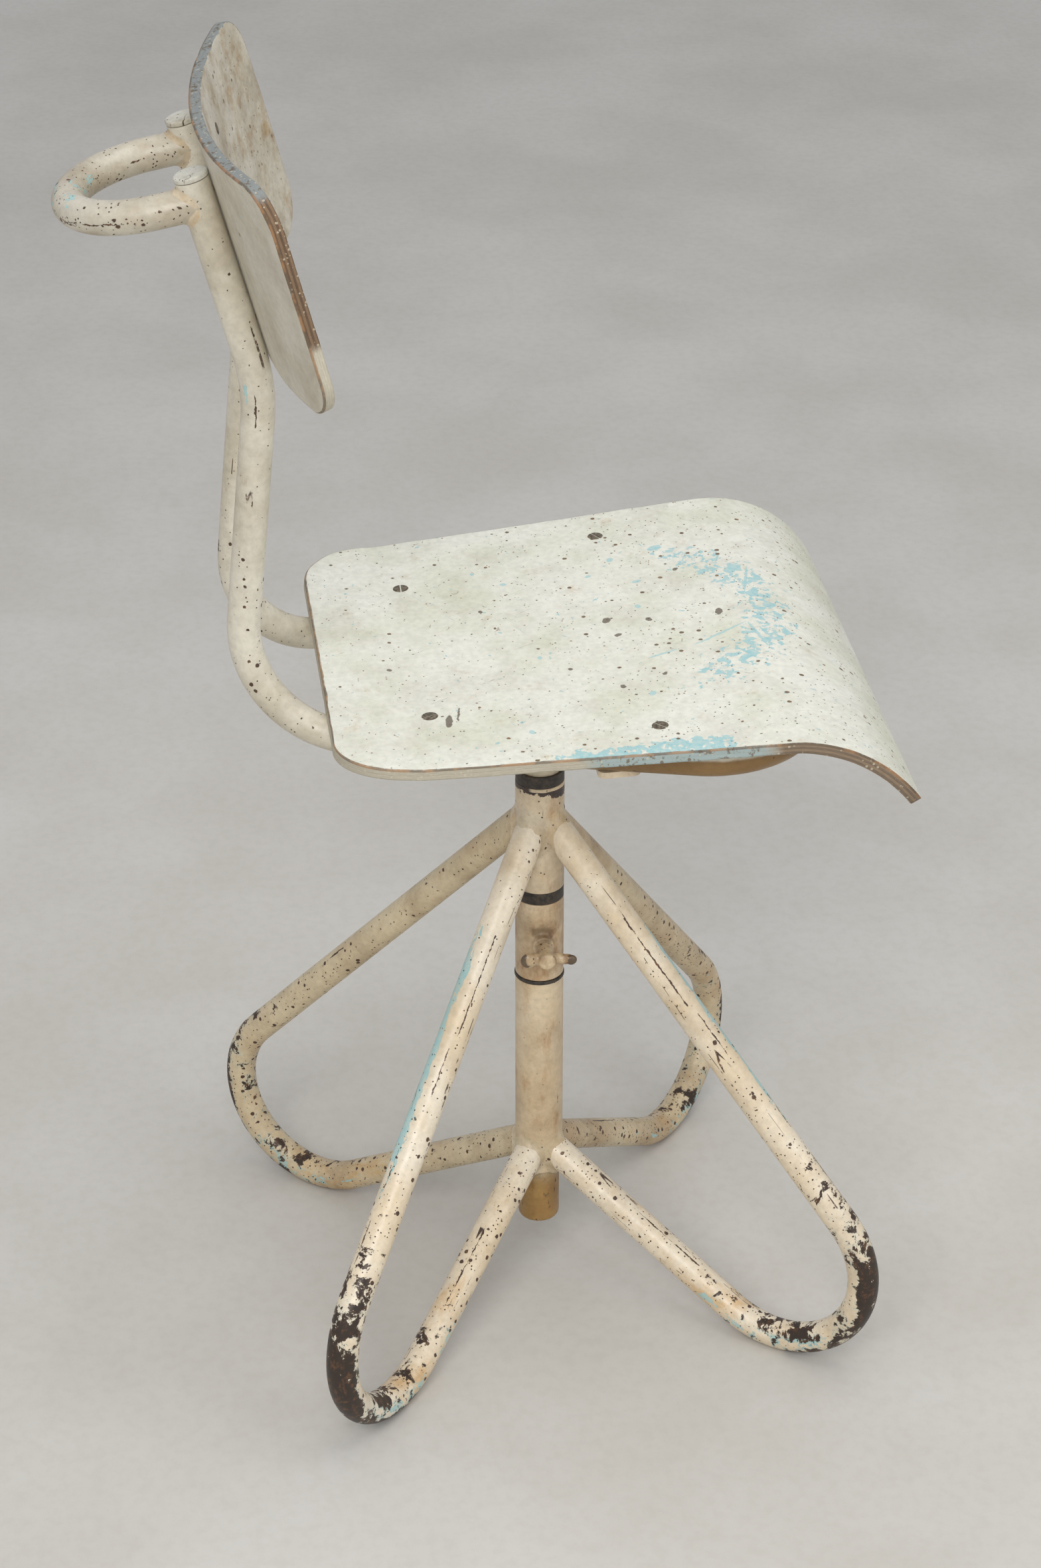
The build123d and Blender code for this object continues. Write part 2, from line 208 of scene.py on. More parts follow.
def shader_group(name, inputs, outputs):
    """Empty group with named sockets; each word of inputs and outputs is kind:Name."""
    tree = bpy.data.node_groups.new(name, "ShaderNodeTree")
    for words, way in ((inputs, "INPUT"), (outputs, "OUTPUT")):
        for word in words.split(", "):
            kind, label = word.split(":")
            tree.interface.new_socket(label, in_out=way, socket_type=KINDS[kind])
    bench = Bench(tree)
    return tree, bench, bench.add("NodeGroupInput").outputs, bench.add("NodeGroupOutput")


def rgb(red, green, blue):
    """A paint colour from 0-255 screen values, as the linear colour that a shader takes."""
    channel = [v / 12.92 if v <= 0.04045 else ((v + 0.055) / 1.055) ** 2.4
               for v in (red / 255, green / 255, blue / 255)]
    return (*channel, 1.0)


TURQUOISE = rgb(150, 196, 198)
BARE_STEEL = rgb(50, 37, 27)
RUST = rgb(112, 76, 48)


def build_spots():
    """Small ragged spots: how thick they lie is Amount, how far apart their cells are is Spacing."""
    tree, n, given, out = shader_group(
        "chip_spots", "v:Place, f:Amount, f:Spacing, f:Largest", "f:Mask")
    spread = n.add("ShaderNodeTexVoronoi", {
        "Vector": n.nudged(given["Place"], 2.2 * MM, 1.6 * MM),
        "Scale": n.math("DIVIDE", 1.0, given["Spacing"]),
        "Randomness": 1.0,
    }, voronoi_dimensions="3D", feature="F1")
    luck = n.parts(spread.outputs["Color"])[0]
    radius = n.times(n.plus(n.math("SUBTRACT", luck, 1.0), given["Amount"]), 1.5)
    radius = n.math("MINIMUM", radius, given["Largest"])
    inside = n.math("SUBTRACT", radius, spread.outputs["Distance"])
    n.feed(out.inputs["Mask"], n.step(inside, 0.0, 0.05))
    return tree


def build_scratches():
    """Long fine lines that run along the third axis of Place."""
    tree, n, given, out = shader_group("long_scratches", "v:Place, f:Amount", "f:Mask")
    along = n.scaled(given["Place"], (1, 1, 0.06))
    line = n.math("ABSOLUTE", n.math("SUBTRACT", n.noise(along, 22 * MM, 2.0, 0.4), 0.5))
    line = n.step(line, 0.006, 0.002)
    patchy = n.noise(given["Place"], 22 * MM, 4.0)
    shown = n.step(n.plus(patchy, n.times(given["Amount"], 0.4)), 0.64, 0.7)
    n.feed(out.inputs["Mask"], n.times(line, shown))
    return tree


def build_grime():
    """Shop dirt: soft brown clouds and fine dust over a colour."""
    tree, n, given, out = shader_group(
        "shop_grime", "v:Place, c:Color, f:Amount, c:Dirt", "c:Color, f:Mask")
    cloud = n.step(n.noise(given["Place"], 46 * MM, 4.0, 0.62), 0.42, 0.74)
    dust = n.step(n.noise(given["Place"], 3.2 * MM, 3.0, 0.7), 0.5, 0.72)
    film = n.times(n.plus(n.times(cloud, 0.75), n.times(dust, 0.3)), given["Amount"])
    n.feed(out.inputs["Mask"], film)
    n.feed(out.inputs["Color"], n.mix(film, given["Color"], given["Dirt"], "MULTIPLY"))
    return tree


def build_paint(spots, scratches, grime):
    """Old brushed enamel: cream over turquoise over steel, chipped and rubbed through."""
    tree, n, given, out = shader_group(
        "chipped_paint",
        "v:Place, f:Bare, f:Undercoat, f:Specks, f:Stain, f:Scratches, v:Off Stroke, f:Grime, "
        "c:Paint, c:Aged Paint, c:Undercoat Color, c:Metal, c:Rust, c:Stain Color",
        "c:Color, f:Roughness, f:Metallic, f:Height")
    # noise repeats itself round the zero point of its coordinates, so the pattern starts far off
    place = n.add("ShaderNodeVectorMath", {0: given["Place"], 1: (1.371, 2.113, 0.737)},
                  operation="ADD").outputs[0]
    patch = n.math("SUBTRACT", n.noise(place, 13 * MM, 8.0, 0.7, 0.3), 0.5)
    level = n.plus(n.times(patch, 1.55), n.times(given["Bare"], 0.5))
    bare = n.step(level, 0.36, 0.38)
    around = n.times(n.step(level, 0.29, 0.31), n.step(given["Undercoat"], 0.02, 0.3))
    streak = n.noise(n.scaled(place, (1, 1, 0.4)), 8 * MM, 6.0, 0.62, 0.3)
    under = n.step(n.plus(streak, n.times(given["Undercoat"], 0.4)), 0.74, 0.755)
    under = n.most(under, around)
    coarse = n.group(spots, {"Place": place, "Amount": given["Specks"], "Spacing": 7.5 * MM,
                             "Largest": 0.27})["Mask"]
    fine = n.group(spots, {"Place": place, "Amount": n.times(given["Specks"], 1.3),
                           "Spacing": 3.1 * MM, "Largest": 0.24})["Mask"]
    lines = n.group(scratches, {"Place": place, "Amount": given["Scratches"]})["Mask"]
    shaky = n.add("ShaderNodeVectorMath", {
        0: n.noise(place, 5 * MM, 5.0, 0.7, colour=True), 1: (3.4 * MM, 3.4 * MM, 0),
        2: given["Off Stroke"]},
        operation="MULTIPLY_ADD").outputs[0]
    far = n.add("ShaderNodeVectorMath", {0: shaky, 1: (1.7 * MM, 1.7 * MM, 0)}, operation="DISTANCE")
    thin = n.step(n.noise(place, 11 * MM, 3.0), 0.35, 0.65, 0.1 * MM, 0.75 * MM)
    stroke = n.step(n.math("SUBTRACT", far.outputs["Value"], thin), 0.15 * MM, -0.05 * MM)
    chips = n.most(n.most(coarse, fine), n.most(lines, stroke))
    gone = n.most(bare, chips)

    age = n.step(n.noise(place, 70 * MM, 4.0, 0.6), 0.36, 0.7)
    colour = n.mix(age, given["Paint"], given["Aged Paint"])
    mottle = n.step(n.noise(place, 5 * MM, 4.0, 0.6), 0.3, 0.75, 1.04, 0.9)
    colour = n.mix(1.0, colour, mottle, "MULTIPLY")
    smear = n.noise(n.scaled(place, (1, 1, 0.5)), 21 * MM, 6.0, 0.65)
    stained = n.step(n.plus(smear, n.times(given["Stain"], 0.45)), 0.6, 0.95)
    colour = n.mix(stained, colour, given["Stain Color"], "MULTIPLY")
    colour = n.group(grime, {"Place": place, "Color": colour, "Amount": given["Grime"],
                             "Dirt": rgb(150, 128, 96)})["Color"]
    fade = n.step(n.noise(place, 4 * MM, 4.0, 0.7), 0.35, 0.7, 0.62, 1.0)
    colour = n.mix(n.times(under, fade), colour, given["Undercoat Color"])
    rusty = n.step(n.noise(place, 6 * MM, 6.0, 0.7), 0.5, 0.66)
    rim = n.step(level, 0.46, 0.38)
    metal = n.mix(n.plus(n.times(rusty, 0.7), n.times(rim, 0.2)), given["Metal"], given["Rust"])
    colour = n.mix(gone, colour, metal)
    n.feed(out.inputs["Color"], colour)

    wear = n.noise(place, 9 * MM, 5.0, 0.65)
    rough = n.step(wear, 0.3, 0.75, 0.34, 0.56)
    n.feed(out.inputs["Roughness"], n.add("ShaderNodeMix", {0: gone, 2: rough, 3: 0.72}).outputs[0])
    n.feed(out.inputs["Metallic"], n.times(bare, 0.25))
    flow = n.times(n.noise(n.scaled(place, (1, 1, 0.3)), 6 * MM, 3.0), 0.35)
    grain = n.times(n.noise(place, 1.1 * MM, 2.0), 0.12)
    film = n.math("SUBTRACT", 1.0, n.plus(gone, n.times(under, 0.45)), clamp=True)
    n.feed(out.inputs["Height"], n.plus(film, n.plus(flow, grain)))
    return tree


def build_ply():
    """The cut edge of five-layer plywood, from the depth through the sheet."""
    tree, n, given, out = shader_group(
        "ply_edge", "v:Sheet, f:Fresh Wood", "c:Color, f:Height")
    sheet = given["Sheet"]
    depth = n.parts(sheet)[2]
    wavy = n.plus(depth, n.times(n.math("SUBTRACT", n.noise(sheet, 16 * MM, 4.0), 0.5), 0.9 * MM))
    layer = n.math("SINE", n.times(wavy, 2 * pi / (3.6 * MM)))
    cross = n.step(layer, -0.35, 0.35)
    fibre = n.noise(n.scaled(sheet, (1, 1, 5)), 5 * MM, 5.0, 0.7)
    pale = n.mix(fibre, rgb(92, 74, 58), rgb(146, 118, 88))
    dark = n.mix(fibre, rgb(64, 50, 40), rgb(116, 90, 66))
    wood = n.mix(cross, pale, dark)
    old = n.mix(fibre, rgb(158, 150, 130), rgb(208, 202, 184))
    seam = n.step(n.math("ABSOLUTE", layer), 0.3, 0.05)
    old = n.mix(n.times(seam, 0.3), old, rgb(96, 84, 68))
    n.feed(out.inputs["Color"], n.mix(given["Fresh Wood"], old, wood))
    n.feed(out.inputs["Height"], n.plus(n.times(fibre, 0.5), n.times(cross, 0.4)))
    return tree


SPOTS = build_spots()
SCRATCHES = build_scratches()
GRIME = build_grime()
PAINT = build_paint(SPOTS, SCRATCHES, GRIME)
PLY_EDGE = build_ply()

CREAM = dict(paint=rgb(230, 218, 196), aged=rgb(218, 198, 166), stain=rgb(232, 202, 154))


def start_material(name):
    material = bpy.data.materials.new(name)
    material.use_nodes = True
    n = Bench(material.node_tree)
    return material, n, material.node_tree.nodes["Principled BSDF"]


def finish_surface(n, shader, colour, rough, height, depth=0.25 * MM, metallic=None):
    n.feed(shader.inputs["Base Color"], colour)
    n.feed(shader.inputs["Roughness"], rough)
    n.feed(shader.inputs["Metallic"], metallic)
    bump = n.add("ShaderNodeBump", {"Height": height, "Strength": 0.8, "Distance": depth})
    n.feed(shader.inputs["Normal"], bump.outputs[0])


def enamel(name, colours, bare=0.0, under=0.0, specks=0.1, stain=0.0, scratches=0.2, grime=0.4,
           gloss=0.2, carried=False, extra=None):
    """Painted steel. The piece's own fields, where it has them, add to the amounts given here."""
    material, n, shader = start_material(name)
    if carried:
        place = n.add("ShaderNodeTexCoord").outputs["Object"]
        add = lambda field, amount: amount
        off = (1.0, 1.0, 1.0)
    else:
        place = n.field("straight", vector=True)
        add = lambda field, amount: n.plus(n.field(field), amount)
        off = n.field("off_stroke", vector=True)
    painted = n.group(PAINT, {
        "Place": place, "Bare": add("bare", bare), "Undercoat": add("under", under),
        "Specks": add("specks", specks), "Stain": add("stain", stain),
        "Scratches": add("scratches", scratches), "Off Stroke": off, "Grime": grime,
        "Paint": colours["paint"], "Aged Paint": colours["aged"],
        "Undercoat Color": TURQUOISE, "Metal": BARE_STEEL, "Rust": RUST,
        "Stain Color": colours["stain"]})
    colour, rough = painted["Color"], painted["Roughness"]
    if extra:
        colour, rough = extra(n, place, colour, rough)
    finish_surface(n, shader, colour, rough, painted["Height"], metallic=painted["Metallic"])
    shader.inputs["Coat Weight"].default_value = gloss
    shader.inputs["Coat Roughness"].default_value = 0.28
    return material


def plain_finish(name, dark, light, rough, size=6 * MM, metallic=0.0, carried=True, depth=0.15 * MM):
    """Fibre, rubber or steel: two close colours, cloudy and speckled, with a fine grain."""
    material, n, shader = start_material(name)
    place = n.add("ShaderNodeTexCoord").outputs["Object"] if carried else n.field("straight", True)
    cloud = n.noise(place, size, 6.0, 0.65)
    colour = n.mix(n.step(cloud, 0.35, 0.68), dark, light)
    specks = n.group(SPOTS, {"Place": place, "Amount": 0.12, "Spacing": 3 * MM, "Largest": 0.2})
    colour = n.mix(n.times(specks["Mask"], 0.5), colour, light)
    grain = n.plus(cloud, n.times(n.noise(place, 0.9 * MM, 2.0), 0.5))
    finish_surface(n, shader, colour, n.step(cloud, 0.3, 0.7, rough - 0.08, rough + 0.1), grain, depth)
    shader.inputs["Metallic"].default_value = metallic
    return material


# --- bent tubes ----------------------------------------------------------------------------------
def build_bent_tube():
    """Route with a bend radius at each corner in, closed tube out."""
    tree = bpy.data.node_groups.new("bent_tube", "GeometryNodeTree")
    for label, kind in (("Route", "Geometry"), ("Tube Radius", "Float"), ("Ring Points", "Int"),
                        ("Step", "Float"), ("Bend Points", "Int"), ("Finish", "Material")):
        tree.interface.new_socket(label, in_out="INPUT", socket_type="NodeSocket" + kind)
    tree.interface.new_socket("Tube", in_out="OUTPUT", socket_type="NodeSocketGeometry")
    n = Bench(tree)
    given = n.add("NodeGroupInput").outputs
    bend = n.add("GeometryNodeInputNamedAttribute", {"Name": "bend"}, data_type="FLOAT")
    line = n.add("GeometryNodeMeshToCurve", {"Mesh": given["Route"]}).outputs[0]
    line = n.add("GeometryNodeFilletCurve", {
        "Curve": line, "Count": given["Bend Points"], "Radius": bend.outputs[0]}, mode="POLY").outputs[0]
    line = n.add("GeometryNodeResampleCurve", {"Curve": line, "Length": given["Step"]},
                 mode="LENGTH").outputs[0]
    length = n.add("GeometryNodeSplineParameter").outputs["Length"]
    line = n.add("GeometryNodeStoreNamedAttribute", {
        "Geometry": line, "Name": "run", "Value": length}, data_type="FLOAT", domain="POINT").outputs[0]
    ring = n.add("GeometryNodeCurvePrimitiveCircle", {
        "Resolution": given["Ring Points"], "Radius": given["Tube Radius"]}, mode="RADIUS").outputs[0]
    tube = n.add("GeometryNodeCurveToMesh", {
        "Curve": line, "Profile Curve": ring, "Fill Caps": True}).outputs[0]
    tube = n.add("GeometryNodeRealizeInstances", {"Geometry": tube}).outputs[0]
    tube = n.add("GeometryNodeSetMaterial", {"Geometry": tube, "Material": given["Finish"]}).outputs[0]
    n.feed(n.add("NodeGroupOutput").inputs[0], tube)
    return tree


def bake_nodes(source, tree, values):
    """Runs a Geometry Nodes tree on a mesh and returns the plain mesh that comes out."""
    holder = bpy.data.objects.new("workpiece", source)
    bpy.context.scene.collection.objects.link(holder)
    modifier = holder.modifiers.new("nodes", "NODES")
    modifier.node_group = tree
    sockets = {item.name: item.identifier for item in tree.interface.items_tree
               if item.item_type == "SOCKET" and item.in_out == "INPUT"}
    for label, value in values.items():
        modifier[sockets[label]] = value
    graph = bpy.context.evaluated_depsgraph_get()
    graph.update()
    made = bpy.data.meshes.new_from_object(holder.evaluated_get(graph))
    bpy.data.objects.remove(holder)
    return made


def bent_tube(name, corners, bends, finish):
    """Tube through the corners; also its rings' centres, outward directions and run along it."""
    route = bpy.data.meshes.new("route")
    route.from_pydata([tuple(c) for c in corners], [(i, i + 1) for i in range(len(corners) - 1)], [])
    tag(route, "bend", [0.0, *bends, 0.0])
    mesh = bake_nodes(route, BENT_TUBE, {
        "Tube Radius": TUBE_R, "Ring Points": RING_POINTS, "Step": TUBE_STEP,
        "Bend Points": 60, "Finish": finish})
    mesh.name = name
    points = points_of(mesh).reshape(-1, RING_POINTS, 3)
    run = np.zeros(len(mesh.vertices), np.float32)
    mesh.attributes["run"].data.foreach_get("value", run)
    run = run.reshape(-1, RING_POINTS)[:, 0].astype(float)
    centres = points.mean(1)
    if np.linalg.norm(centres[0] - corners[0]) > np.linalg.norm(centres[-1] - corners[0]):
        run = run.max() - run
    return mesh, points, centres, unit(points - centres[:, None]), run


def cope(points, run_from_end, direction, pole, pole_axis, pole_r, reach):
    """Slides a tube's end along itself until it lies on a round pole, easing out over reach."""
    axis = unit(pole_axis)
    flat = lambda v: v - (v @ axis)[..., None] * axis
    d = flat(np.asarray(direction, float))
    start = points - run_from_end[:, None, None] * np.asarray(direction)
    o = flat(start - pole)
    b, c = o @ d, (o * o).sum(-1) - pole_r**2
    touch = (-b + np.sqrt(np.maximum(b * b - (d @ d) * c, 0))) / (d @ d)
    near = (run_from_end < reach)[:, None]
    moved = touch + run_from_end[:, None] * (reach - touch) / reach
    slid = start + moved[..., None] * np.asarray(direction)
    return np.where(near[..., None], slid, points)


def off_stroke(outward, centres, run, strokes):
    """Vector to the nearest long scratch (sideways, inwards, past its end); its length is the
    distance. Strokes are (way they face, run at their start, run at their end)."""
    ahead = unit(np.gradient(centres, axis=0))[:, None]
    nearest = np.full((*outward.shape[:2], 3), 1.0)
    for faces, start, stop in strokes:
        faces = np.asarray(faces, float)
        level = unit(faces - (ahead @ faces)[..., None] * ahead)
        across = (outward * np.cross(ahead, level)).sum(-1)
        inwards = 1 - (outward * level).sum(-1)
        beyond = np.maximum(np.maximum(start - run, run - stop), 0)[:, None]
        away = np.stack([TUBE_R * across, TUBE_R * inwards, np.broadcast_to(beyond, across.shape)], -1)
        closer = np.linalg.norm(away, axis=-1) < np.linalg.norm(nearest, axis=-1)
        nearest = np.where(closer[..., None], away, nearest)
    return nearest


def finish_tube(mesh, points, run, finish, body, replaced, fields):
    put_points(mesh, points.reshape(-1, 3))
    spread = np.broadcast_to(run[:, None], points.shape[:2])
    turn = np.arange(RING_POINTS) * 2 * pi / RING_POINTS
    turn = np.broadcast_to(turn, points.shape[:2])
    along = np.stack([TUBE_R * np.cos(turn), TUBE_R * np.sin(turn), spread], -1)
    offset = rng.uniform(-1, 1, 3)
    tag(mesh, "straight", (along + offset).reshape(-1, 3))
    tag(mesh, "off_stroke", fields.pop("off_stroke").reshape(-1, 3))
    for name, values in fields.items():
        tag(mesh, name, np.broadcast_to(values, points.shape[:2]).ravel())
    face_out(mesh, 1e-7)
    return show(mesh, finish, body, replaced)


BENT_TUBE = build_bent_tube()

LEG_HEIGHT = 443 * MM
LEG_BEND = 77.5 * MM
UPPER_SLOPE, LOWER_SLOPE = radians(47), radians(30)
BEND_HEIGHT = TUBE_R - 0.3 * MM + LEG_BEND
BEND_REACH = (LEG_HEIGHT - BEND_HEIGHT - LEG_BEND / cos(UPPER_SLOPE)) / tan(UPPER_SLOPE)
LOWER_HEIGHT = BEND_HEIGHT + BEND_REACH * tan(LOWER_SLOPE) - LEG_BEND / cos(LOWER_SLOPE)
CORNER_REACH = (LEG_HEIGHT - LOWER_HEIGHT) / (tan(UPPER_SLOPE) - tan(LOWER_SLOPE))
LEGS = {
    # name: azimuth, how worn the foot is, which flank shows the undercoat
    "leg_rear_left": (52, 0.8, 0.0),
    "leg_rear_right": (142, 1.0, -1.0),
    "leg_front_right": (232, 0.95, 1.0),
    "leg_front_left": (322, 0.8, 0.0),
}


def leg_strokes(side, outer, worn):
    """Long scratches down a leg: which way each faces, and where it runs past the bend's start."""
    if not worn:
        return [(side + outer, -150 * MM, -120 * MM), (outer - side * 0.3, 300 * MM, 345 * MM)]
    return [
        (outer - side * 0.9, -300 * MM, -215 * MM),
        (outer - side * 0.5, -205 * MM, -165 * MM),
        (outer + side * 0.35, -120 * MM, -85 * MM),
        (outer + side * 0.5, -60 * MM, -10 * MM),
        (outer - side * 0.2, 262 * MM, 335 * MM),
    ]


def leg(name, azimuth, worn, flank, finish):
    way = np.array([cos(radians(azimuth)), sin(radians(azimuth)), 0])
    side = np.array([-way[1], way[0], 0])
    up = np.array([0, 0, 1.0])
    corners = [up * LEG_HEIGHT,
               way * CORNER_REACH + up * (LEG_HEIGHT - CORNER_REACH * tan(UPPER_SLOPE)),
               up * LOWER_HEIGHT]
    mesh, points, centres, outward, run = bent_tube(name, corners, [LEG_BEND], finish)
    down = way * cos(UPPER_SLOPE) - up * sin(UPPER_SLOPE)
    back = way * cos(LOWER_SLOPE) - up * sin(LOWER_SLOPE)
    root = COLUMN_R - 0.5 * MM
    points = cope(points, run, down, np.zeros(3), up, root, 80 * MM)
    points = cope(points, run.max() - run, back, np.zeros(3), up, root, 80 * MM)
    points[..., 2] = np.maximum(points[..., 2], 0.0)

    # where each point is: before the bend (negative), on it, or past it, and which way it faces
    bend_start = BEND_REACH / cos(UPPER_SLOPE) + LEG_BEND * tan(UPPER_SLOPE)
    past = (run - bend_start)[:, None]
    middle = way * BEND_REACH + up * BEND_HEIGHT
    out_way = unit(centres - middle)[:, None]
    straight_out = way * sin(UPPER_SLOPE) + up * cos(UPPER_SLOPE)
    out_way = np.where(past[..., None] < 0, straight_out, out_way)
    facing = (outward * out_way).sum(-1)
    window = ramp(-110 * MM, 60 * MM, past) * ramp(190 * MM, 110 * MM, past)
    toe = ramp(110 * MM, 160 * MM, past) * ramp(330 * MM, 240 * MM, past)
    core = ramp(10 * MM, 60 * MM, past) * ramp(130 * MM, 80 * MM, past) * ramp(-0.3, 0.4, facing)
    bare = worn * (window * (0.34 * ramp(-0.2, 0.8, facing) + 0.14) + 0.34 * core)
    bare += worn * (0.30 * toe * ramp(-0.2, 0.8, np.abs(facing)) + 0.12 * toe)
    bare += 0.36 * worn * ramp(-300 * MM, -20 * MM, past) * ramp(250 * MM, 150 * MM, past)
    specks = 0.11 + 0.24 * ramp(-330 * MM, -20 * MM, past) + 0.10 * ramp(200 * MM, 330 * MM, past)
    under = 0.50 * toe * ramp(-0.75, 0.1, -np.abs(facing)) + 0.12 * window
    edge = 0.75 * outward @ (side * flank) + 0.45 * (outward @ straight_out)
    upper_run = ramp(-350 * MM, -250 * MM, past) * ramp(-60 * MM, -130 * MM, past)
    under = under + abs(flank) * 0.95 * upper_run * ramp(0.35, 0.75, edge)
    stain = 0.28 * toe + 0.15 * ramp(0, 200 * MM, past)
    strokes = [(outward_of, bend_start + start, bend_start + stop)
               for outward_of, start, stop in leg_strokes(side * (flank or 1), straight_out, abs(flank))]
    fields = dict(bare=bare, specks=specks, under=under, stain=stain,
                  scratches=0.05 + 0.1 * abs(flank), off_stroke=off_stroke(outward, centres, run, strokes))
    return finish_tube(mesh, points, run, finish, "base", [name], fields)


leg_enamel = enamel("leg_enamel", CREAM, specks=0.05, scratches=0.1, grime=0.3, gloss=0.4)
# A darker, tanner copy of the leg cream for the two far legs: painted shade, with its own specks and chips
# on top.
far_leg_shade_enamel = enamel("shaded_leg_enamel", dict(CREAM, paint=rgb(206, 190, 158),
                         aged=rgb(186, 160, 124)), specks=0.12, scratches=0.05, grime=0.5)
# legs with no undercoat flank (the two far ones) take the painted-shade copy of the cream
for name, (azimuth, worn, flank) in LEGS.items():
    leg(name, azimuth, worn, flank, leg_enamel if flank else far_leg_shade_enamel)

# --- the frame: one tube from post top to post top -----------------------------------------------
TILT = radians(15)
FRAME_SLOPE = radians(2.2)
FLARE = tan(radians(18.5))
FRAME_HEIGHT = 568.5 * MM
FRAME_FRONT = 186 * MM
REAR_BACK = 239 * MM
POST_HALF = 61 * MM
POST_BACK, POST_BEND_HEIGHT = 211.4 * MM, 838.4 * MM
POST_UPPER = 163 * MM
lean = np.array([0, sin(TILT), cos(TILT)])
square_to_lean = np.array([0, cos(TILT), -sin(TILT)])
post_foot = np.array([0, POST_BACK, POST_BEND_HEIGHT])


def frame_half_width(forward):
    return POST_HALF + (forward + REAR_BACK) * FLARE


def up_post(side, along):
    """A point on a leaning post's axis, along it from its bend."""
    return post_foot + np.array([side * POST_HALF, 0, 0]) + lean * along


def mirrored(points):
    return [np.array([-p[0], p[1], p[2]]) for p in reversed(points)]


left_run = [
    up_post(1, POST_UPPER),
    up_post(1, 0),
    np.array([POST_HALF, REAR_BACK, FRAME_HEIGHT - REAR_BACK * tan(FRAME_SLOPE)]),
    np.array([frame_half_width(FRAME_FRONT), -FRAME_FRONT,
              FRAME_HEIGHT + FRAME_FRONT * tan(FRAME_SLOPE)]),
]
left_bends = [149 * MM, 82 * MM, 70 * MM]
frame_enamel = enamel("frame_enamel", dict(paint=rgb(212, 206, 190), aged=rgb(194, 185, 164),
                      stain=rgb(168, 134, 84)), specks=0.1, scratches=0.0, grime=0.3)
mesh, points, centres, outward, run = bent_tube(
    "seat_frame", left_run + mirrored(left_run), left_bends + left_bends[::-1], frame_enamel)
post_part = ramp(0.66, 0.74, centres[:, 2])[:, None]
rear_part = ramp(0.14, 0.22, centres[:, 1])[:, None] * (1 - post_part)
outer_side = outward[..., 0] * np.sign(centres[:, None, 0])
fields = dict(
    bare=0.05 + 0.10 * rear_part * ramp(0.2, 0.9, outward[..., 1]) + 0.02 * post_part,
    specks=0.02 + 0.03 * post_part + 0.12 * rear_part,
    under=0.03 + 0.36 * ramp(0.02, 0.0, np.abs(centres[:, 2] - 0.838))[:, None] * ramp(0.3, 0.8, outer_side),
    stain=0.1 + 1.6 * ramp(0.6, 0.0, outward[..., 2]) * ramp(0.14, 0.06, centres[:, 1])[:, None],
    scratches=0.05 + 0.05 * outer_side,
)
fields["off_stroke"] = off_stroke(outward, centres, run, [
    ((-1, 0.2, 0.1), run.max() - 190 * MM, run.max() - 165 * MM), ((0.3, 1, 0), 120 * MM, 170 * MM)])
finish_tube(mesh, points, run, frame_enamel, "seat", ["seat_frame_tube"], fields)

# --- the handle: a U welded to both posts --------------------------------------------------------
HANDLE_DROP, HANDLE_DROOP, HANDLE_STRAIGHT = 18.5 * MM, radians(11), 31 * MM
handle_out = np.array([0, cos(HANDLE_DROOP), -sin(HANDLE_DROOP)])
handle_corners = []
for side, far in ((1, 0), (1, 1), (-1, 1), (-1, 0)):
    reach = HANDLE_STRAIGHT + POST_HALF if far else 0.0
    handle_corners.append(up_post(side, POST_UPPER - HANDLE_DROP) + handle_out * reach)
handle_enamel = enamel("handle_enamel", dict(paint=rgb(200, 194, 178), aged=rgb(182, 170, 148),
                       stain=rgb(206, 182, 144)), specks=0.3, scratches=0.0, grime=0.4)
mesh, points, centres, outward, run = bent_tube(
    "handle", handle_corners, [POST_HALF - 0.02 * MM] * 2, handle_enamel)
for side, ends in ((1, run), (-1, run.max() - run)):
    pole = up_post(side, POST_UPPER - HANDLE_DROP)
    points = cope(points, ends, handle_out, pole, lean, TUBE_R - 0.5 * MM, 40 * MM)
bow = ramp(0.05, 0.02, np.abs(centres[:, 0]))[:, None]
fields = dict(
    bare=0.16 + 0.06 * bow, specks=0.05 + 0.05 * bow,
    under=0.42 * bow * ramp(-0.3, 0.4, outward[..., 2]) + 0.05, stain=0.1 + 0 * bow,
)
fields["off_stroke"] = off_stroke(outward, centres, run, [
    ((-0.8, 0.6, -0.12), run.max() - 116 * MM, run.max() - 50 * MM),
    ((-0.8, 0.6, -0.3), run.max() - 100 * MM, run.max() - 84 * MM),
    ((-0.8, -0.6, 0.2), 36 * MM, 50 * MM)])
finish_tube(mesh, points, run, handle_enamel, "seat", ["handle_loop"], fields)


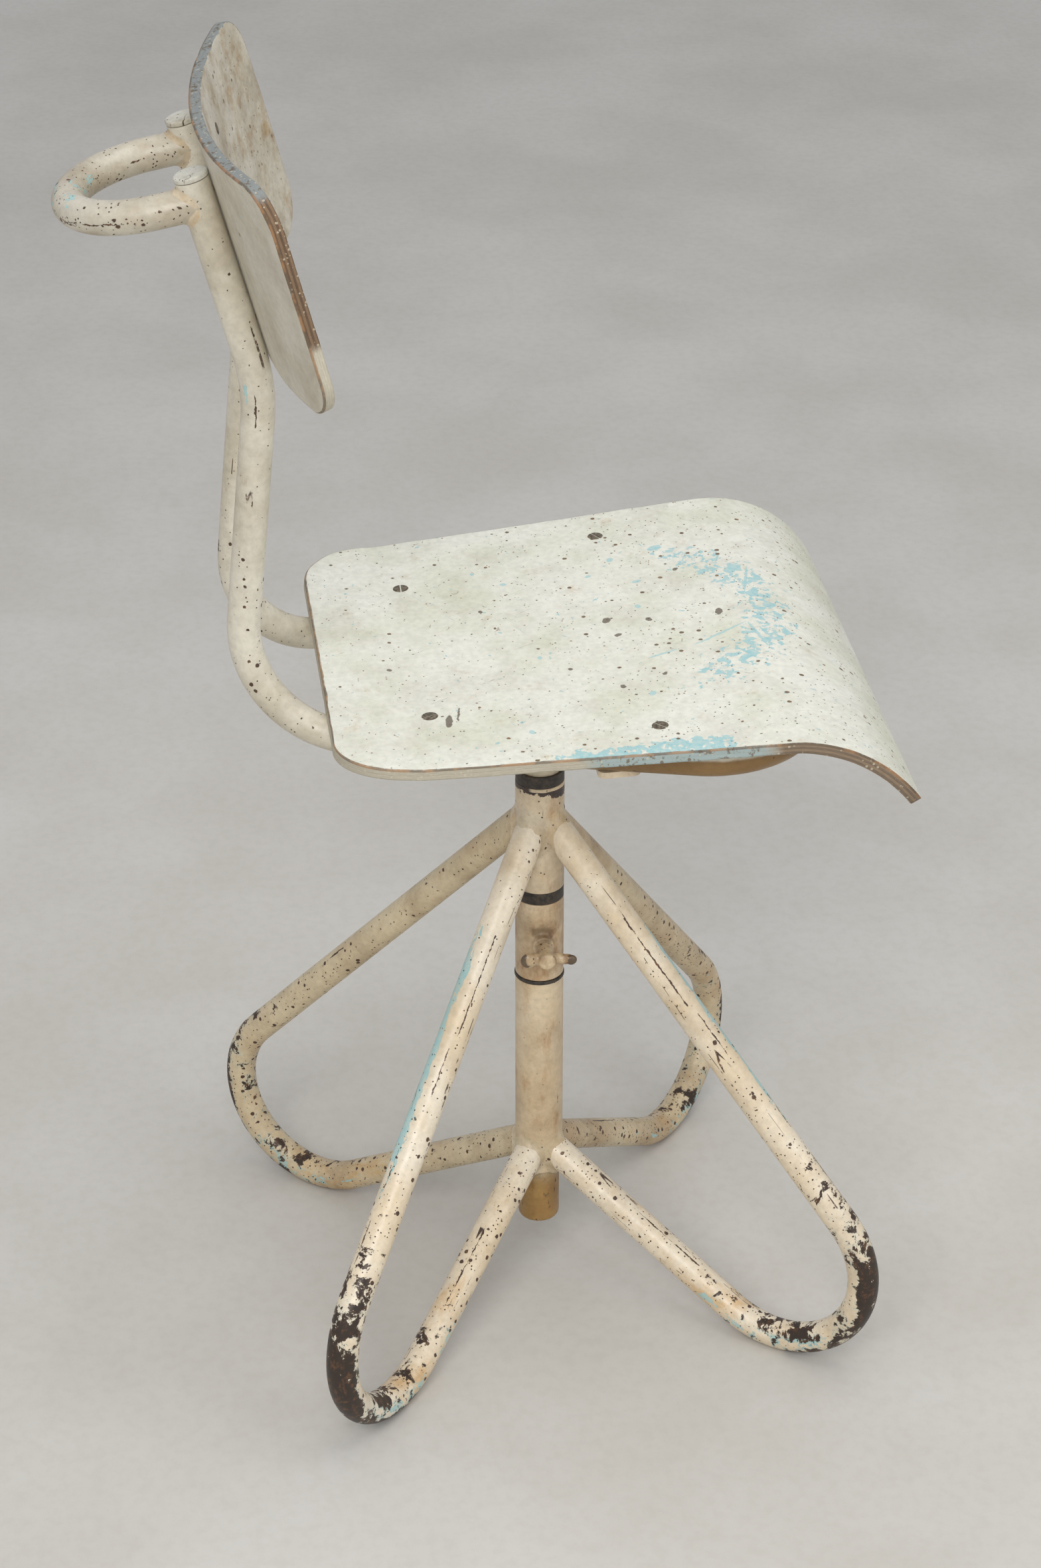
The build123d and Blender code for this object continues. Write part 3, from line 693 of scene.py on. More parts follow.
# --- weld beads ----------------------------------------------------------------------------------
def weld_bead(tube_point, tube_way, tube_r, pole_point, pole_axis, pole_r, width, seed, steps=72):
    """Closed ring of weld between the end of a tube and the pole that it meets."""
    tube_way, axis = unit(tube_way), unit(pole_axis)
    side = unit(np.cross(axis, tube_way))
    top = np.cross(tube_way, side)
    turn = np.arange(steps) * 2 * pi / steps
    ring = np.cos(turn)[:, None] * side + np.sin(turn)[:, None] * top
    flat = lambda v: v - (v @ axis)[..., None] * axis

    def on_pole(start, way, radius):
        d, o = flat(way), flat(start - pole_point)
        b, a, c = (o * d).sum(-1), (d * d).sum(-1), (o * o).sum(-1) - radius**2
        far = (-b + np.sqrt(np.maximum(b * b - a * c, 0))) / a
        return start + far[..., None] * way

    joint = on_pole(tube_point + ring * tube_r, np.broadcast_to(tube_way, ring.shape), pole_r)
    size = width * (1 + 0.14 * wobble(turn, seed, (2, 14)))
    on_tube = joint + size[:, None] * tube_way
    away = ring - (ring * unit(flat(joint - pole_point))).sum(-1)[:, None] * unit(flat(joint - pole_point))
    beside = joint + size[:, None] * unit(away + 1e-9)
    out = flat(beside - pole_point)
    beside = beside - out + unit(out) * pole_r
    inside = joint - unit(flat(joint - pole_point)) * 1.5 * MM - ring * 1.5 * MM
    lump = 0.12 + 0.10 * wobble(turn, seed + 1, (6, 22))
    rows = []
    for t in np.linspace(0, 1, 7):
        hump = (1 - t) ** 2 * on_tube + 2 * t * (1 - t) * joint + t * t * beside
        chord = (1 - t) * on_tube + t * beside
        weight = (lump * 4 * t * (1 - t))[:, None] * 0.6
        rows.append(hump * (1 - weight) + chord * weight)
    rows[0] = rows[0] - ring * 0.15 * MM
    rows.append(inside)
    grid = np.stack(rows)
    return grid


def grids_mesh(name, grids):
    """One mesh from grids of points that close on themselves both ways."""
    points, faces = [], []
    for grid in grids:
        rows, columns = grid.shape[:2]
        base = len(points)
        points.extend(map(tuple, grid.reshape(-1, 3)))
        for r in range(rows):
            for c in range(columns):
                a, b = base + r * columns + c, base + r * columns + (c + 1) % columns
                below = base + (r + 1) % rows * columns
                faces.append((a, b, below + (c + 1) % columns, below + c))
    mesh = bpy.data.meshes.new(name)
    mesh.from_pydata(points, [], faces)
    face_out(mesh)
    return mesh


weld_enamel = enamel("weld_enamel", dict(CREAM, paint=rgb(216, 203, 178), aged=rgb(200, 182, 150)),
                     bare=0.22, specks=0.2, stain=0.35, scratches=0.0, grime=0.6)
beads = []
for number, (azimuth, worn, flank) in enumerate(LEGS.values()):
    way = np.array([cos(radians(azimuth)), sin(radians(azimuth)), 0])
    for height, slope, width in ((LEG_HEIGHT, UPPER_SLOPE, 8 * MM), (LOWER_HEIGHT, LOWER_SLOPE, 5 * MM)):
        along = way * cos(slope) - np.array([0, 0, sin(slope)])
        beads.append(weld_bead(np.array([0, 0, height]), along, TUBE_R, np.zeros(3), (0, 0, 1),
                               COLUMN_R, width, 11 * number + int(height * 1000)))
show(grids_mesh("leg_welds", beads), weld_enamel, "base")
beads = []
for side in (-1, 1):
    pole = up_post(side, POST_UPPER - HANDLE_DROP)
    beads.append(weld_bead(pole, handle_out, TUBE_R, pole, lean, TUBE_R, 4 * MM, 40 + side))
show(grids_mesh("handle_welds", beads), weld_enamel, "seat")


# --- turned pieces -------------------------------------------------------------------------------
def eased(outline, radii, steps=5):
    """The outline with each corner rounded by its own radius."""
    made = []
    count = len(outline)
    for i in range(count):
        here = np.array(outline[i], float)
        before, after = np.array(outline[i - 1], float), np.array(outline[(i + 1) % count], float)
        r = radii[i] if isinstance(radii, (list, tuple)) else radii
        if r <= 0:
            made.append(here)
            continue
        a, b = unit(before - here), unit(after - here)
        reach = min(r, 0.45 * np.linalg.norm(before - here), 0.45 * np.linalg.norm(after - here))
        for t in np.linspace(0, 1, steps):
            made.append((1 - t) ** 2 * (here + a * reach) + 2 * t * (1 - t) * here
                        + t * t * (here + b * reach))
    return np.array(made)


def turned(name, outline, radii=0.5 * MM, steps=96, origin=(0, 0, 0), axis=(0, 0, 1), ripple=None):
    """Spins a closed outline of (radius, height) corners round an axis."""
    profile = eased(outline, radii)
    axis = unit(axis)
    x = unit(np.cross((0, 1, 0), axis)) if abs(axis[1]) < 0.9 else np.array([1.0, 0, 0])
    y = np.cross(axis, x)
    turn = np.arange(steps) * 2 * pi / steps
    ring = np.cos(turn)[:, None] * x + np.sin(turn)[:, None] * y
    radius, height = profile[:, 0], profile[:, 1]
    if ripple:
        spread = ripple(radius[:, None], height[:, None], turn[None])
    else:
        spread = np.broadcast_to(radius[:, None], (len(radius), steps))
    grid = np.asarray(origin) + spread[..., None] * ring[None] + height[:, None, None] * axis
    return grids_mesh(name, [grid])


HUB_BOTTOM, HUB_TOP = 373 * MM, 468 * MM
BUSH_FLANGE = 10.5 * MM
COLLAR_BOTTOM = 291.3 * MM
WASHER_DEPTH = 3.4 * MM
COLLAR_TOP = HUB_BOTTOM - BUSH_FLANGE - FACE_GAP
LOWER_BOTTOM = 103 * MM
WASHER_BOTTOM = COLLAR_BOTTOM - FACE_GAP - WASHER_DEPTH
BORE = COLUMN_R - 1.5 * MM
SLIDE = POST_R + 0.08 * MM
SCREW_HEIGHT = 327 * MM
BOSS_R = 8.5 * MM
BOSS_FACE = COLUMN_R + 6 * MM
SCREW_HOLE = 4.3 * MM


def sleeve(name, outer, inner, bottom, top, **more):
    return turned(name, [(outer, bottom), (outer, top), (inner, top), (inner, bottom)], **more)


def black_band(n, place, colour, rough):
    """Bare black metal along the hub's top, deepest at the front, and a cream line left on its rim."""
    x, y, height = n.parts(place)
    ragged = n.times(n.math("SUBTRACT", n.noise(place, 12 * MM, 7.0, 0.68), 0.5), 18 * MM)
    deep = n.step(y, 2 * MM, -12 * MM, 4.6 * MM, 9.5 * MM)
    top = n.step(n.plus(n.plus(height, ragged), deep), HUB_TOP - 0.3 * MM, HUB_TOP + 0.2 * MM)
    line = n.step(n.plus(height, n.times(ragged, 0.12)), HUB_TOP - 3.0 * MM, HUB_TOP - 2.5 * MM)
    line = n.times(line, n.step(n.plus(y, ragged), 12 * MM, 8 * MM))
    top = n.times(top, n.math("SUBTRACT", 1.0, line))
    shade = n.step(n.noise(place, 5 * MM, 5.0), 0.4, 0.7)
    dark = n.mix(shade, rgb(46, 36, 32), rgb(78, 58, 48))
    return n.mix(top, colour, dark), n.add("ShaderNodeMix", {0: top, 2: rough, 3: 0.5}).outputs[0]


hub_enamel = enamel("hub_enamel", dict(paint=rgb(218, 202, 174), aged=rgb(204, 182, 148),
                    stain=rgb(200, 160, 112)), bare=0.12, specks=0.2, stain=0.35, scratches=0.0,
                    grime=0.5, extra=black_band)
column_enamel = enamel("column_enamel", dict(paint=rgb(216, 198, 168), aged=rgb(204, 182, 148),
                       stain=rgb(206, 170, 126)), bare=0.06, specks=0.1, stain=0.3, scratches=0.0, grime=0.4)


def screw_smudge(n, place, colour, rough):
    """Black grease on the collar just above the screw."""
    x, y, z = n.parts(place)
    off = n.add("ShaderNodeCombineXYZ", {
        0: y, 1: n.times(n.math("SUBTRACT", z, SCREW_HEIGHT + 10 * MM), 1.9), 2: 0.0}).outputs[0]
    far = n.add("ShaderNodeVectorMath", {0: off}, operation="LENGTH").outputs["Value"]
    ragged = n.times(n.math("SUBTRACT", n.noise(place, 7 * MM, 6.0, 0.65), 0.5), 26 * MM)
    near = n.times(n.step(n.plus(far, ragged), 14 * MM, 5 * MM), n.step(x, 0.0, -8 * MM))
    return n.mix(n.times(near, 0.6), colour, rgb(120, 102, 80), "MULTIPLY"), rough


collar_enamel = enamel("collar_enamel", dict(paint=rgb(222, 202, 170), aged=rgb(206, 184, 150),
                       stain=rgb(196, 158, 112)), bare=0.06, specks=0.08, stain=0.45, scratches=0.0,
                       grime=0.6, extra=screw_smudge)


def worn_wings_and_gap_shade(n, place, colour, rough):
    """Wing tips handled down to dark metal, and painted shade on the shank and barrel foot in the gap beside
    the boss.
    """
    x, y, z = n.parts(place)
    ragged = n.times(n.math("SUBTRACT", n.noise(place, 5 * MM, 6.0, 0.68), 0.5), 16 * MM)
    tips = n.step(n.plus(n.math("ABSOLUTE", y), ragged), 15.5 * MM, 17.5 * MM)
    # painted shade: everything nearer the column than the barrel's foot goes dark, as a recess would
    gap = n.step(x, -(BOSS_FACE + 4.6 * MM), -(BOSS_FACE + 3.6 * MM))
    return n.mix(n.times(n.most(tips, gap), 0.85), colour, rgb(70, 56, 42)), rough


screw_enamel = enamel("screw_enamel", dict(paint=rgb(222, 204, 170), aged=rgb(196, 172, 136),
                      stain=rgb(150, 112, 74)), bare=0.3, specks=0.25, stain=0.5, scratches=0.0,
                      grime=0.7, extra=worn_wings_and_gap_shade)


def end_stain(n, place, colour, rough):
    """Grease and rust on the lowest few centimetres of the post."""
    height = n.parts(place)[2]
    ragged = n.times(n.math("SUBTRACT", n.noise(place, 15 * MM, 6.0, 0.65), 0.5), 30 * MM)
    low = n.step(n.plus(height, ragged), 112 * MM, 88 * MM)
    colour = n.mix(low, colour, rgb(206, 172, 116), "MULTIPLY")
    marks = n.step(n.noise(n.scaled(place, (1, 1, 0.6)), 14 * MM, 5.0, 0.6), 0.6, 0.66)
    return n.mix(n.times(n.times(marks, low), 0.8), colour, rgb(66, 50, 36)), rough


post_enamel = enamel("post_enamel", dict(paint=rgb(208, 198, 172), aged=rgb(192, 176, 144),
                     stain=rgb(180, 138, 90)), bare=0.08, specks=0.08, stain=0.25, scratches=0.3,
                     grime=0.45, extra=end_stain)
black_fibre = plain_finish("black_fibre", rgb(26, 24, 23), rgb(62, 54, 47), 0.55)
black_fibre_worn = plain_finish("black_fibre_worn", rgb(30, 27, 25), rgb(74, 63, 52), 0.5, carried=False)
old_steel = plain_finish("old_steel", rgb(70, 62, 54), rgb(128, 112, 92), 0.55, 3 * MM, 0.6)
bolt_steel = plain_finish("bolt_steel", rgb(70, 62, 52), rgb(136, 124, 104), 0.6, 2.5 * MM, 0.25, False)
hidden_enamel = enamel("plate_enamel", CREAM, bare=0.2, specks=0.2, grime=0.7, carried=True)

show(sleeve("hub_tube", COLUMN_R, BORE, HUB_BOTTOM, HUB_TOP,
            radii=[0.5 * MM, 1.1 * MM, 0.3 * MM, 0.3 * MM]),
     hub_enamel, "base", ["upper_hub_tube"])
show(sleeve("lower_tube", COLUMN_R, BORE, LOWER_BOTTOM, WASHER_BOTTOM,
            radii=[1.2 * MM, 0.5 * MM, 0.2 * MM, 0.4 * MM]),
     column_enamel, "base", ["lower_column_tube"])
show(sleeve("washer", COLUMN_R + 0.7 * MM, SLIDE, WASHER_BOTTOM + 0.05 * MM,
            COLLAR_BOTTOM - FACE_GAP, radii=[1.2 * MM, 1.2 * MM, 0.2 * MM, 0.2 * MM]),
     black_fibre_worn, "base", ["thrust_washer"])


def worn_ring(radius, height, turn):
    """Fibre ring, a little thinner here and there."""
    dip = 0.25 * MM * np.clip(wobble(turn, 5, (1, 12)), 0, 1)
    return np.where(radius > POST_R + 1 * MM, radius - dip, radius)


for name, low, high, node in (
    ("top_ring", HUB_TOP, HUB_TOP + BUSH_FLANGE, "upper_hub_bush"),
    ("middle_ring", HUB_BOTTOM - BUSH_FLANGE, HUB_BOTTOM, "lower_hub_bush"),
):
    outline = [(COLUMN_R - 0.1 * MM, low), (COLUMN_R - 0.1 * MM, high), (SLIDE, high), (SLIDE, low)]
    radii = [0.5 * MM, 2.2 * MM if name == "top_ring" else 0.6 * MM, 0.5 * MM, 0.2 * MM]
    show(turned(name, outline, radii, ripple=worn_ring), black_fibre_worn, "base", [node])

# --- collar, boss and wing screw -----------------------------------------------------------------
show(sleeve("collar", COLUMN_R, SLIDE, COLLAR_BOTTOM, COLLAR_TOP,
            radii=[0.9 * MM, 0.9 * MM, 0.3 * MM, 0.3 * MM]),
     collar_enamel, "collar", ["locking_collar"])
boss_at = (0, 0, SCREW_HEIGHT)
boss = turned("boss", [(BOSS_R, COLUMN_R - 3.2 * MM), (BOSS_R, BOSS_FACE), (SCREW_HOLE, BOSS_FACE),
                       (SCREW_HOLE, COLUMN_R - 3.2 * MM)], [0, 1.4 * MM, 0.6 * MM, 0],
              origin=boss_at, axis=(-1, 0, 0), steps=64)
show(boss, collar_enamel, "collar", ["collar_boss"])
bead = weld_bead(np.array(boss_at), (-1, 0, 0), BOSS_R, np.zeros(3), (0, 0, 1), COLUMN_R, 2.4 * MM, 77)
show(grids_mesh("boss_weld", [bead]), collar_enamel, "collar")

BARREL_START, BARREL_END, BARREL_R = BOSS_FACE + 3 * MM, COLUMN_R + 30 * MM, 7.2 * MM
SCREW_TIP, SHANK_R = POST_R + 2.6 * MM, 3.9 * MM


def lobe(centre, size, steps=32):
    """Closed egg, one blank of the casting."""
    work = bmesh.new()
    bmesh.ops.create_uvsphere(work, u_segments=steps, v_segments=steps // 2, radius=1.0)
    work.transform(Matrix.Translation(centre) @ Matrix.Diagonal((*size, 1)))
    mesh = bpy.data.meshes.new("lobe")
    work.to_mesh(mesh)
    work.free()
    return mesh


def cast_piece(name, blanks, voxel, smoothing):
    """Joins overlapping blanks into one skin and softens it, as a casting."""
    work = bmesh.new()
    for blank in blanks:
        work.from_mesh(blank)
    mesh = bpy.data.meshes.new(name)
    work.to_mesh(mesh)
    work.free()
    holder = bpy.data.objects.new("casting", mesh)
    bpy.context.scene.collection.objects.link(holder)
    remesh = holder.modifiers.new("skin", "REMESH")
    remesh.mode, remesh.voxel_size = "VOXEL", voxel
    soften = holder.modifiers.new("soften", "SMOOTH")
    soften.factor, soften.iterations = 0.5, smoothing
    graph = bpy.context.evaluated_depsgraph_get()
    graph.update()
    made = bpy.data.meshes.new_from_object(holder.evaluated_get(graph))
    made.name = name
    bpy.data.objects.remove(holder)
    return made


wing_x = -(BARREL_END - 7 * MM)
blanks = [
    turned("barrel", [(0, BARREL_START), (BARREL_R, BARREL_START), (BARREL_R, BARREL_END),
                      (0, BARREL_END)], [0, 1.2 * MM, 3.0 * MM, 0],
           origin=boss_at, axis=(-1, 0, 0), steps=48),
    turned("shank", [(0, SCREW_TIP), (SHANK_R, SCREW_TIP), (SHANK_R, BARREL_START + 2 * MM),
                     (0, BARREL_START + 2 * MM)], [0, 0.5 * MM, 0, 0],
           origin=boss_at, axis=(-1, 0, 0), steps=40),
    lobe((wing_x, 8 * MM, SCREW_HEIGHT), (4.4 * MM, 8 * MM, 5.4 * MM)),
    lobe((wing_x - 2 * MM, 14.5 * MM, SCREW_HEIGHT + 0.4 * MM), (3.8 * MM, 6.6 * MM, 6.4 * MM)),
    lobe((wing_x, -8 * MM, SCREW_HEIGHT), (4.0 * MM, 9 * MM, 4.6 * MM)),
    lobe((wing_x - 1.8 * MM, -15 * MM, SCREW_HEIGHT - 0.4 * MM), (3.3 * MM, 8 * MM, 4.4 * MM)),
    lobe((wing_x - 3.2 * MM, -19.5 * MM, SCREW_HEIGHT - 0.6 * MM), (2.8 * MM, 4.6 * MM, 4.4 * MM)),
]
show(cast_piece("wing_screw_cast", blanks, 0.55 * MM, 5), screw_enamel, "screw",
     ["wing_screw"])

# --- post ----------------------------------------------------------------------------------------
POST_BOTTOM = 51 * MM
PLATE_DROP = 23.5 * MM
post_top = FRAME_HEIGHT - PLATE_DROP / cos(FRAME_SLOPE)
post = turned("post", [(0, POST_BOTTOM), (POST_R, POST_BOTTOM), (POST_R, post_top), (0, post_top)],
              [0, 5 * MM, 0, 0], steps=96)
shape = points_of(post)
high = shape[:, 2] > post_top - 1 * MM
shape[high, 2] -= shape[high, 1] * tan(FRAME_SLOPE)
put_points(post, shape)
show(post, post_enamel, "seat", ["seat_post", "post_end_plug"])

# --- caps ----------------------------------------------------------------------------------------
cap_enamel = enamel("cap_enamel", dict(paint=rgb(206, 204, 192), aged=rgb(178, 170, 150),
                    stain=rgb(160, 132, 92)), bare=0.2, under=0.15, specks=0.3, grime=0.7)
for side, hand in ((-1, "right"), (1, "left")):
    def dented(radius, height, turn, seed=side + 3):
        return radius * (1 - 0.012 * np.clip(wobble(turn, seed, (2, 9)), 0, 1.5))

    cap = turned(f"cap_{hand}", [
        (0, -6 * MM), (10.9 * MM, -6 * MM), (10.9 * MM, 0.6 * MM), (12.7 * MM, 0.6 * MM),
        (12.7 * MM, 4.2 * MM), (6 * MM, 4.6 * MM), (0, 4.6 * MM)],
        [0, 0.3 * MM, 0, 0.5 * MM, 1.6 * MM, 2 * MM, 0], steps=64,
        origin=up_post(side, POST_UPPER), axis=lean, ripple=dented)
    show(cap, cap_enamel, "seat", [f"post_cap_{hand}"])

# --- plywood sheets ------------------------------------------------------------------------------
PLY = 9 * MM


def filleted(corners, radii, spacing=1.0 * MM):
    """Evenly spaced points round a polygon whose corners are rounded."""
    made = []
    for i, corner in enumerate(corners):
        corner = np.array(corner, float)
        a = unit(np.array(corners[i - 1]) - corner)
        b = unit(np.array(corners[(i + 1) % len(corners)]) - corner)
        half = np.arccos(np.clip(a @ b, -1, 1)) / 2
        centre = corner + unit(a + b) * radii[i] / sin(half)
        first, last = corner + a * radii[i] / tan(half), corner + b * radii[i] / tan(half)
        start, stop = first - centre, last - centre
        sweep = atan2(start[0] * stop[1] - start[1] * stop[0], start @ stop)
        for t in np.linspace(0, 1, 24):
            turn = sweep * t
            made.append(centre + np.array([start[0] * cos(turn) - start[1] * sin(turn),
                                           start[0] * sin(turn) + start[1] * cos(turn)]))
    return respaced(np.array(made), spacing)


def respaced(loop, spacing):
    closed = np.vstack([loop, loop[:1]])
    run = np.r_[0, np.cumsum(np.linalg.norm(np.diff(closed, axis=0), axis=1))]
    wanted = np.linspace(0, run[-1], int(run[-1] / spacing), endpoint=False)
    return np.stack([np.interp(wanted, run, closed[:, k]) for k in (0, 1)], 1)


def ply_sheet(name, loop, lay, seed, spacing=6 * MM, edge=1.3 * MM, nick=0.5 * MM):
    """Sheet of plywood cut to a loop, with worn edges, laid in shape by lay(x, y, depth)."""
    count = len(loop)
    middle = loop.mean(0)
    tangent = unit(np.roll(loop, -1, 0) - np.roll(loop, 1, 0))
    inward = np.stack([-tangent[:, 1], tangent[:, 0]], 1)
    if ((middle - loop) * inward).sum() < 0:
        inward = -inward
    turn = np.arange(count) * 2 * pi / count
    worn = edge * (1 + 0.35 * wobble(turn, seed, (3, 60)))
    worn = np.clip(worn, 0.5 * MM, 2.6 * MM)
    bite = nick * np.clip(wobble(turn, seed + 1, (8, 90)) - 0.55, 0, 1.6)
    layers = []
    inner = loop + inward * (worn + bite * 0.4)[:, None]
    for face in (1, -1):
        stack = [(inner, np.full(count, face * PLY / 2))]
        for a in (22.5, 45, 67.5, 90):
            back = worn * (1 - sin(radians(a))) + bite * 0.4
            deep = PLY / 2 - worn * (1 - cos(radians(a)))
            stack.append((loop + inward * back[:, None], face * deep))
        if face == 1:
            for level in (0.5, 0.0, -0.5):
                back = bite * (1.0 if level == 0.0 else 0.7)
                stack.append((loop + inward * back[:, None], level * (PLY / 2 - worn)))
            layers = stack
        else:
            layers += stack[::-1]
    rows = np.concatenate([np.c_[p, d] for p, d in layers])
    faces = []
    for r in range(len(layers) - 1):
        for c in range(count):
            d = (c + 1) % count
            faces.append((r * count + c, r * count + d, (r + 1) * count + d, (r + 1) * count + c))

    # the flat middle: an even net of points inside the innermost loop
    low, high = inner.min(0), inner.max(0)
    net = np.stack(np.meshgrid(np.arange(low[0], high[0], spacing),
                               np.arange(low[1], high[1], spacing)), -1).reshape(-1, 2)
    gap = np.linalg.norm(net[:, None] - inner[None], axis=-1)
    nearest = gap.argmin(1)
    inside = ((net - inner[nearest]) * inward[nearest]).sum(1) > 0
    net = net[inside & (gap.min(1) > 0.6 * spacing)]
    net = net + np.random.default_rng(seed + 2).uniform(-0.12, 0.12, net.shape) * spacing
    ring_edges = [(c, (c + 1) % count) for c in range(count)]
    filled = delaunay_2d_cdt([Vector(p) for p in np.vstack([inner, net])], ring_edges, [], 1, 1e-7)
    sources = [origin[0] for origin in filled[3]]
    top_start, low_start = 0, (len(layers) - 1) * count
    sheet = [rows]
    for face, start in ((1, top_start), (-1, low_start)):
        extra_start = sum(map(len, sheet))
        number = [start + source if source < count else extra_start + source - count
                  for source in sources]
        sheet.append(np.c_[net, np.full(len(net), face * PLY / 2)])
        faces += [tuple(number[v] for v in triangle) for triangle in filled[2]]
    sheet = np.vstack(sheet)
    reach = np.linalg.norm(rows[:, :2].reshape(len(layers), count, 2) - loop, axis=-1)
    rim = np.r_[reach.ravel(), np.ones(2 * len(net))]
    mesh = bpy.data.meshes.new(name)
    mesh.from_pydata(list(map(tuple, lay(sheet[:, 0], sheet[:, 1], sheet[:, 2]))), [], faces)
    tag(mesh, "sheet", sheet)
    tag(mesh, "rim", rim)
    face_out(mesh, 1e-7)
    return mesh


# the seat: straight run, rolled front lip, faint rear curl; y is the run forward of the axis
SEAT_SLOPE = radians(3.6)
RISE, FRAME_RISE = tan(SEAT_SLOPE), tan(FRAME_SLOPE)
REAR_BOLTS, FRONT_BOLTS = -97 * MM, 67 * MM
seat_under = (FRAME_HEIGHT + REAR_BOLTS * FRAME_RISE + TUBE_R / cos(FRAME_SLOPE)
              - REAR_BOLTS * RISE + 0.7 * MM)
FLAT_REAR, FLAT_FRONT = -110 * MM / cos(SEAT_SLOPE), 154 * MM / cos(SEAT_SLOPE)
LIP_R, LIP_TURN = 103.5 * MM, radians(64)
CURL_R, CURL_RUN = 380 * MM, 62 * MM


def seat_lay(x, y, depth):
    y = np.asarray(y, float)
    lip = np.clip(y - FLAT_FRONT, 0, LIP_R * LIP_TURN) / LIP_R
    curl = np.clip(FLAT_REAR - y, 0, CURL_RUN) / CURL_R
    angle = SEAT_SLOPE - lip - curl
    flat = np.clip(y, FLAT_REAR, FLAT_FRONT)
    base_height = seat_under + PLY / 2 / cos(SEAT_SLOPE)
    forward = flat * cos(SEAT_SLOPE)
    height = base_height + flat * sin(SEAT_SLOPE)
    forward += LIP_R * (sin(SEAT_SLOPE) - np.sin(SEAT_SLOPE - lip))
    height += LIP_R * (np.cos(SEAT_SLOPE - lip) - cos(SEAT_SLOPE))
    forward += CURL_R * (np.sin(SEAT_SLOPE - curl) - sin(SEAT_SLOPE))
    height += CURL_R * (cos(SEAT_SLOPE) - np.cos(SEAT_SLOPE - curl)) * -1
    forward -= depth * np.sin(angle)
    height += depth * np.cos(angle)
    return np.stack([x, -forward, height], -1)


SEAT_REAR, SEAT_FRONT = 172 * MM, 257 * MM
REAR_HALF, FRONT_HALF = 184 * MM, 223 * MM
REAR_CORNER_R, FRONT_CORNER_R = 52 * MM, 26 * MM
plan = filleted([(REAR_HALF, SEAT_REAR), (-REAR_HALF, SEAT_REAR), (-FRONT_HALF, -SEAT_FRONT),
                 (FRONT_HALF, -SEAT_FRONT)],
                [REAR_CORNER_R, REAR_CORNER_R, FRONT_CORNER_R, FRONT_CORNER_R])
samples = np.linspace(FLAT_REAR - CURL_RUN, FLAT_FRONT + LIP_R * LIP_TURN, 3000)
plan_y = seat_lay(np.zeros(3000), samples, 0.0)[:, 1]
blank = np.stack([plan[:, 0], np.interp(-plan[:, 1], -plan_y, samples)], 1)
blank = respaced(blank, 1.0 * MM)
for _ in range(12):
    blank = (np.roll(blank, 1, 0) + 2 * blank + np.roll(blank, -1, 0)) / 4
blank = respaced(blank, 2.6 * MM)


def marks(n, place, ovals):
    """1 inside any of some ragged ovals: (x, y, half length, half width, turn), mm and degrees."""
    flat = n.scaled(n.nudged(place, 4 * MM, 3.2 * MM), (1, 1, 0))
    nearest = None
    for x, y, long, wide, turn in ovals:
        within = n.add("ShaderNodeMapping", {
            "Vector": flat, "Location": (x * MM, y * MM, 0), "Rotation": (0, 0, radians(turn)),
            "Scale": (long * MM, wide * MM, 1)}, vector_type="TEXTURE").outputs[0]
        far = n.add("ShaderNodeVectorMath", {0: within}, operation="LENGTH").outputs["Value"]
        nearest = far if nearest is None else n.math("MINIMUM", nearest, far)
    return n.step(nearest, 1.0, 0.86)


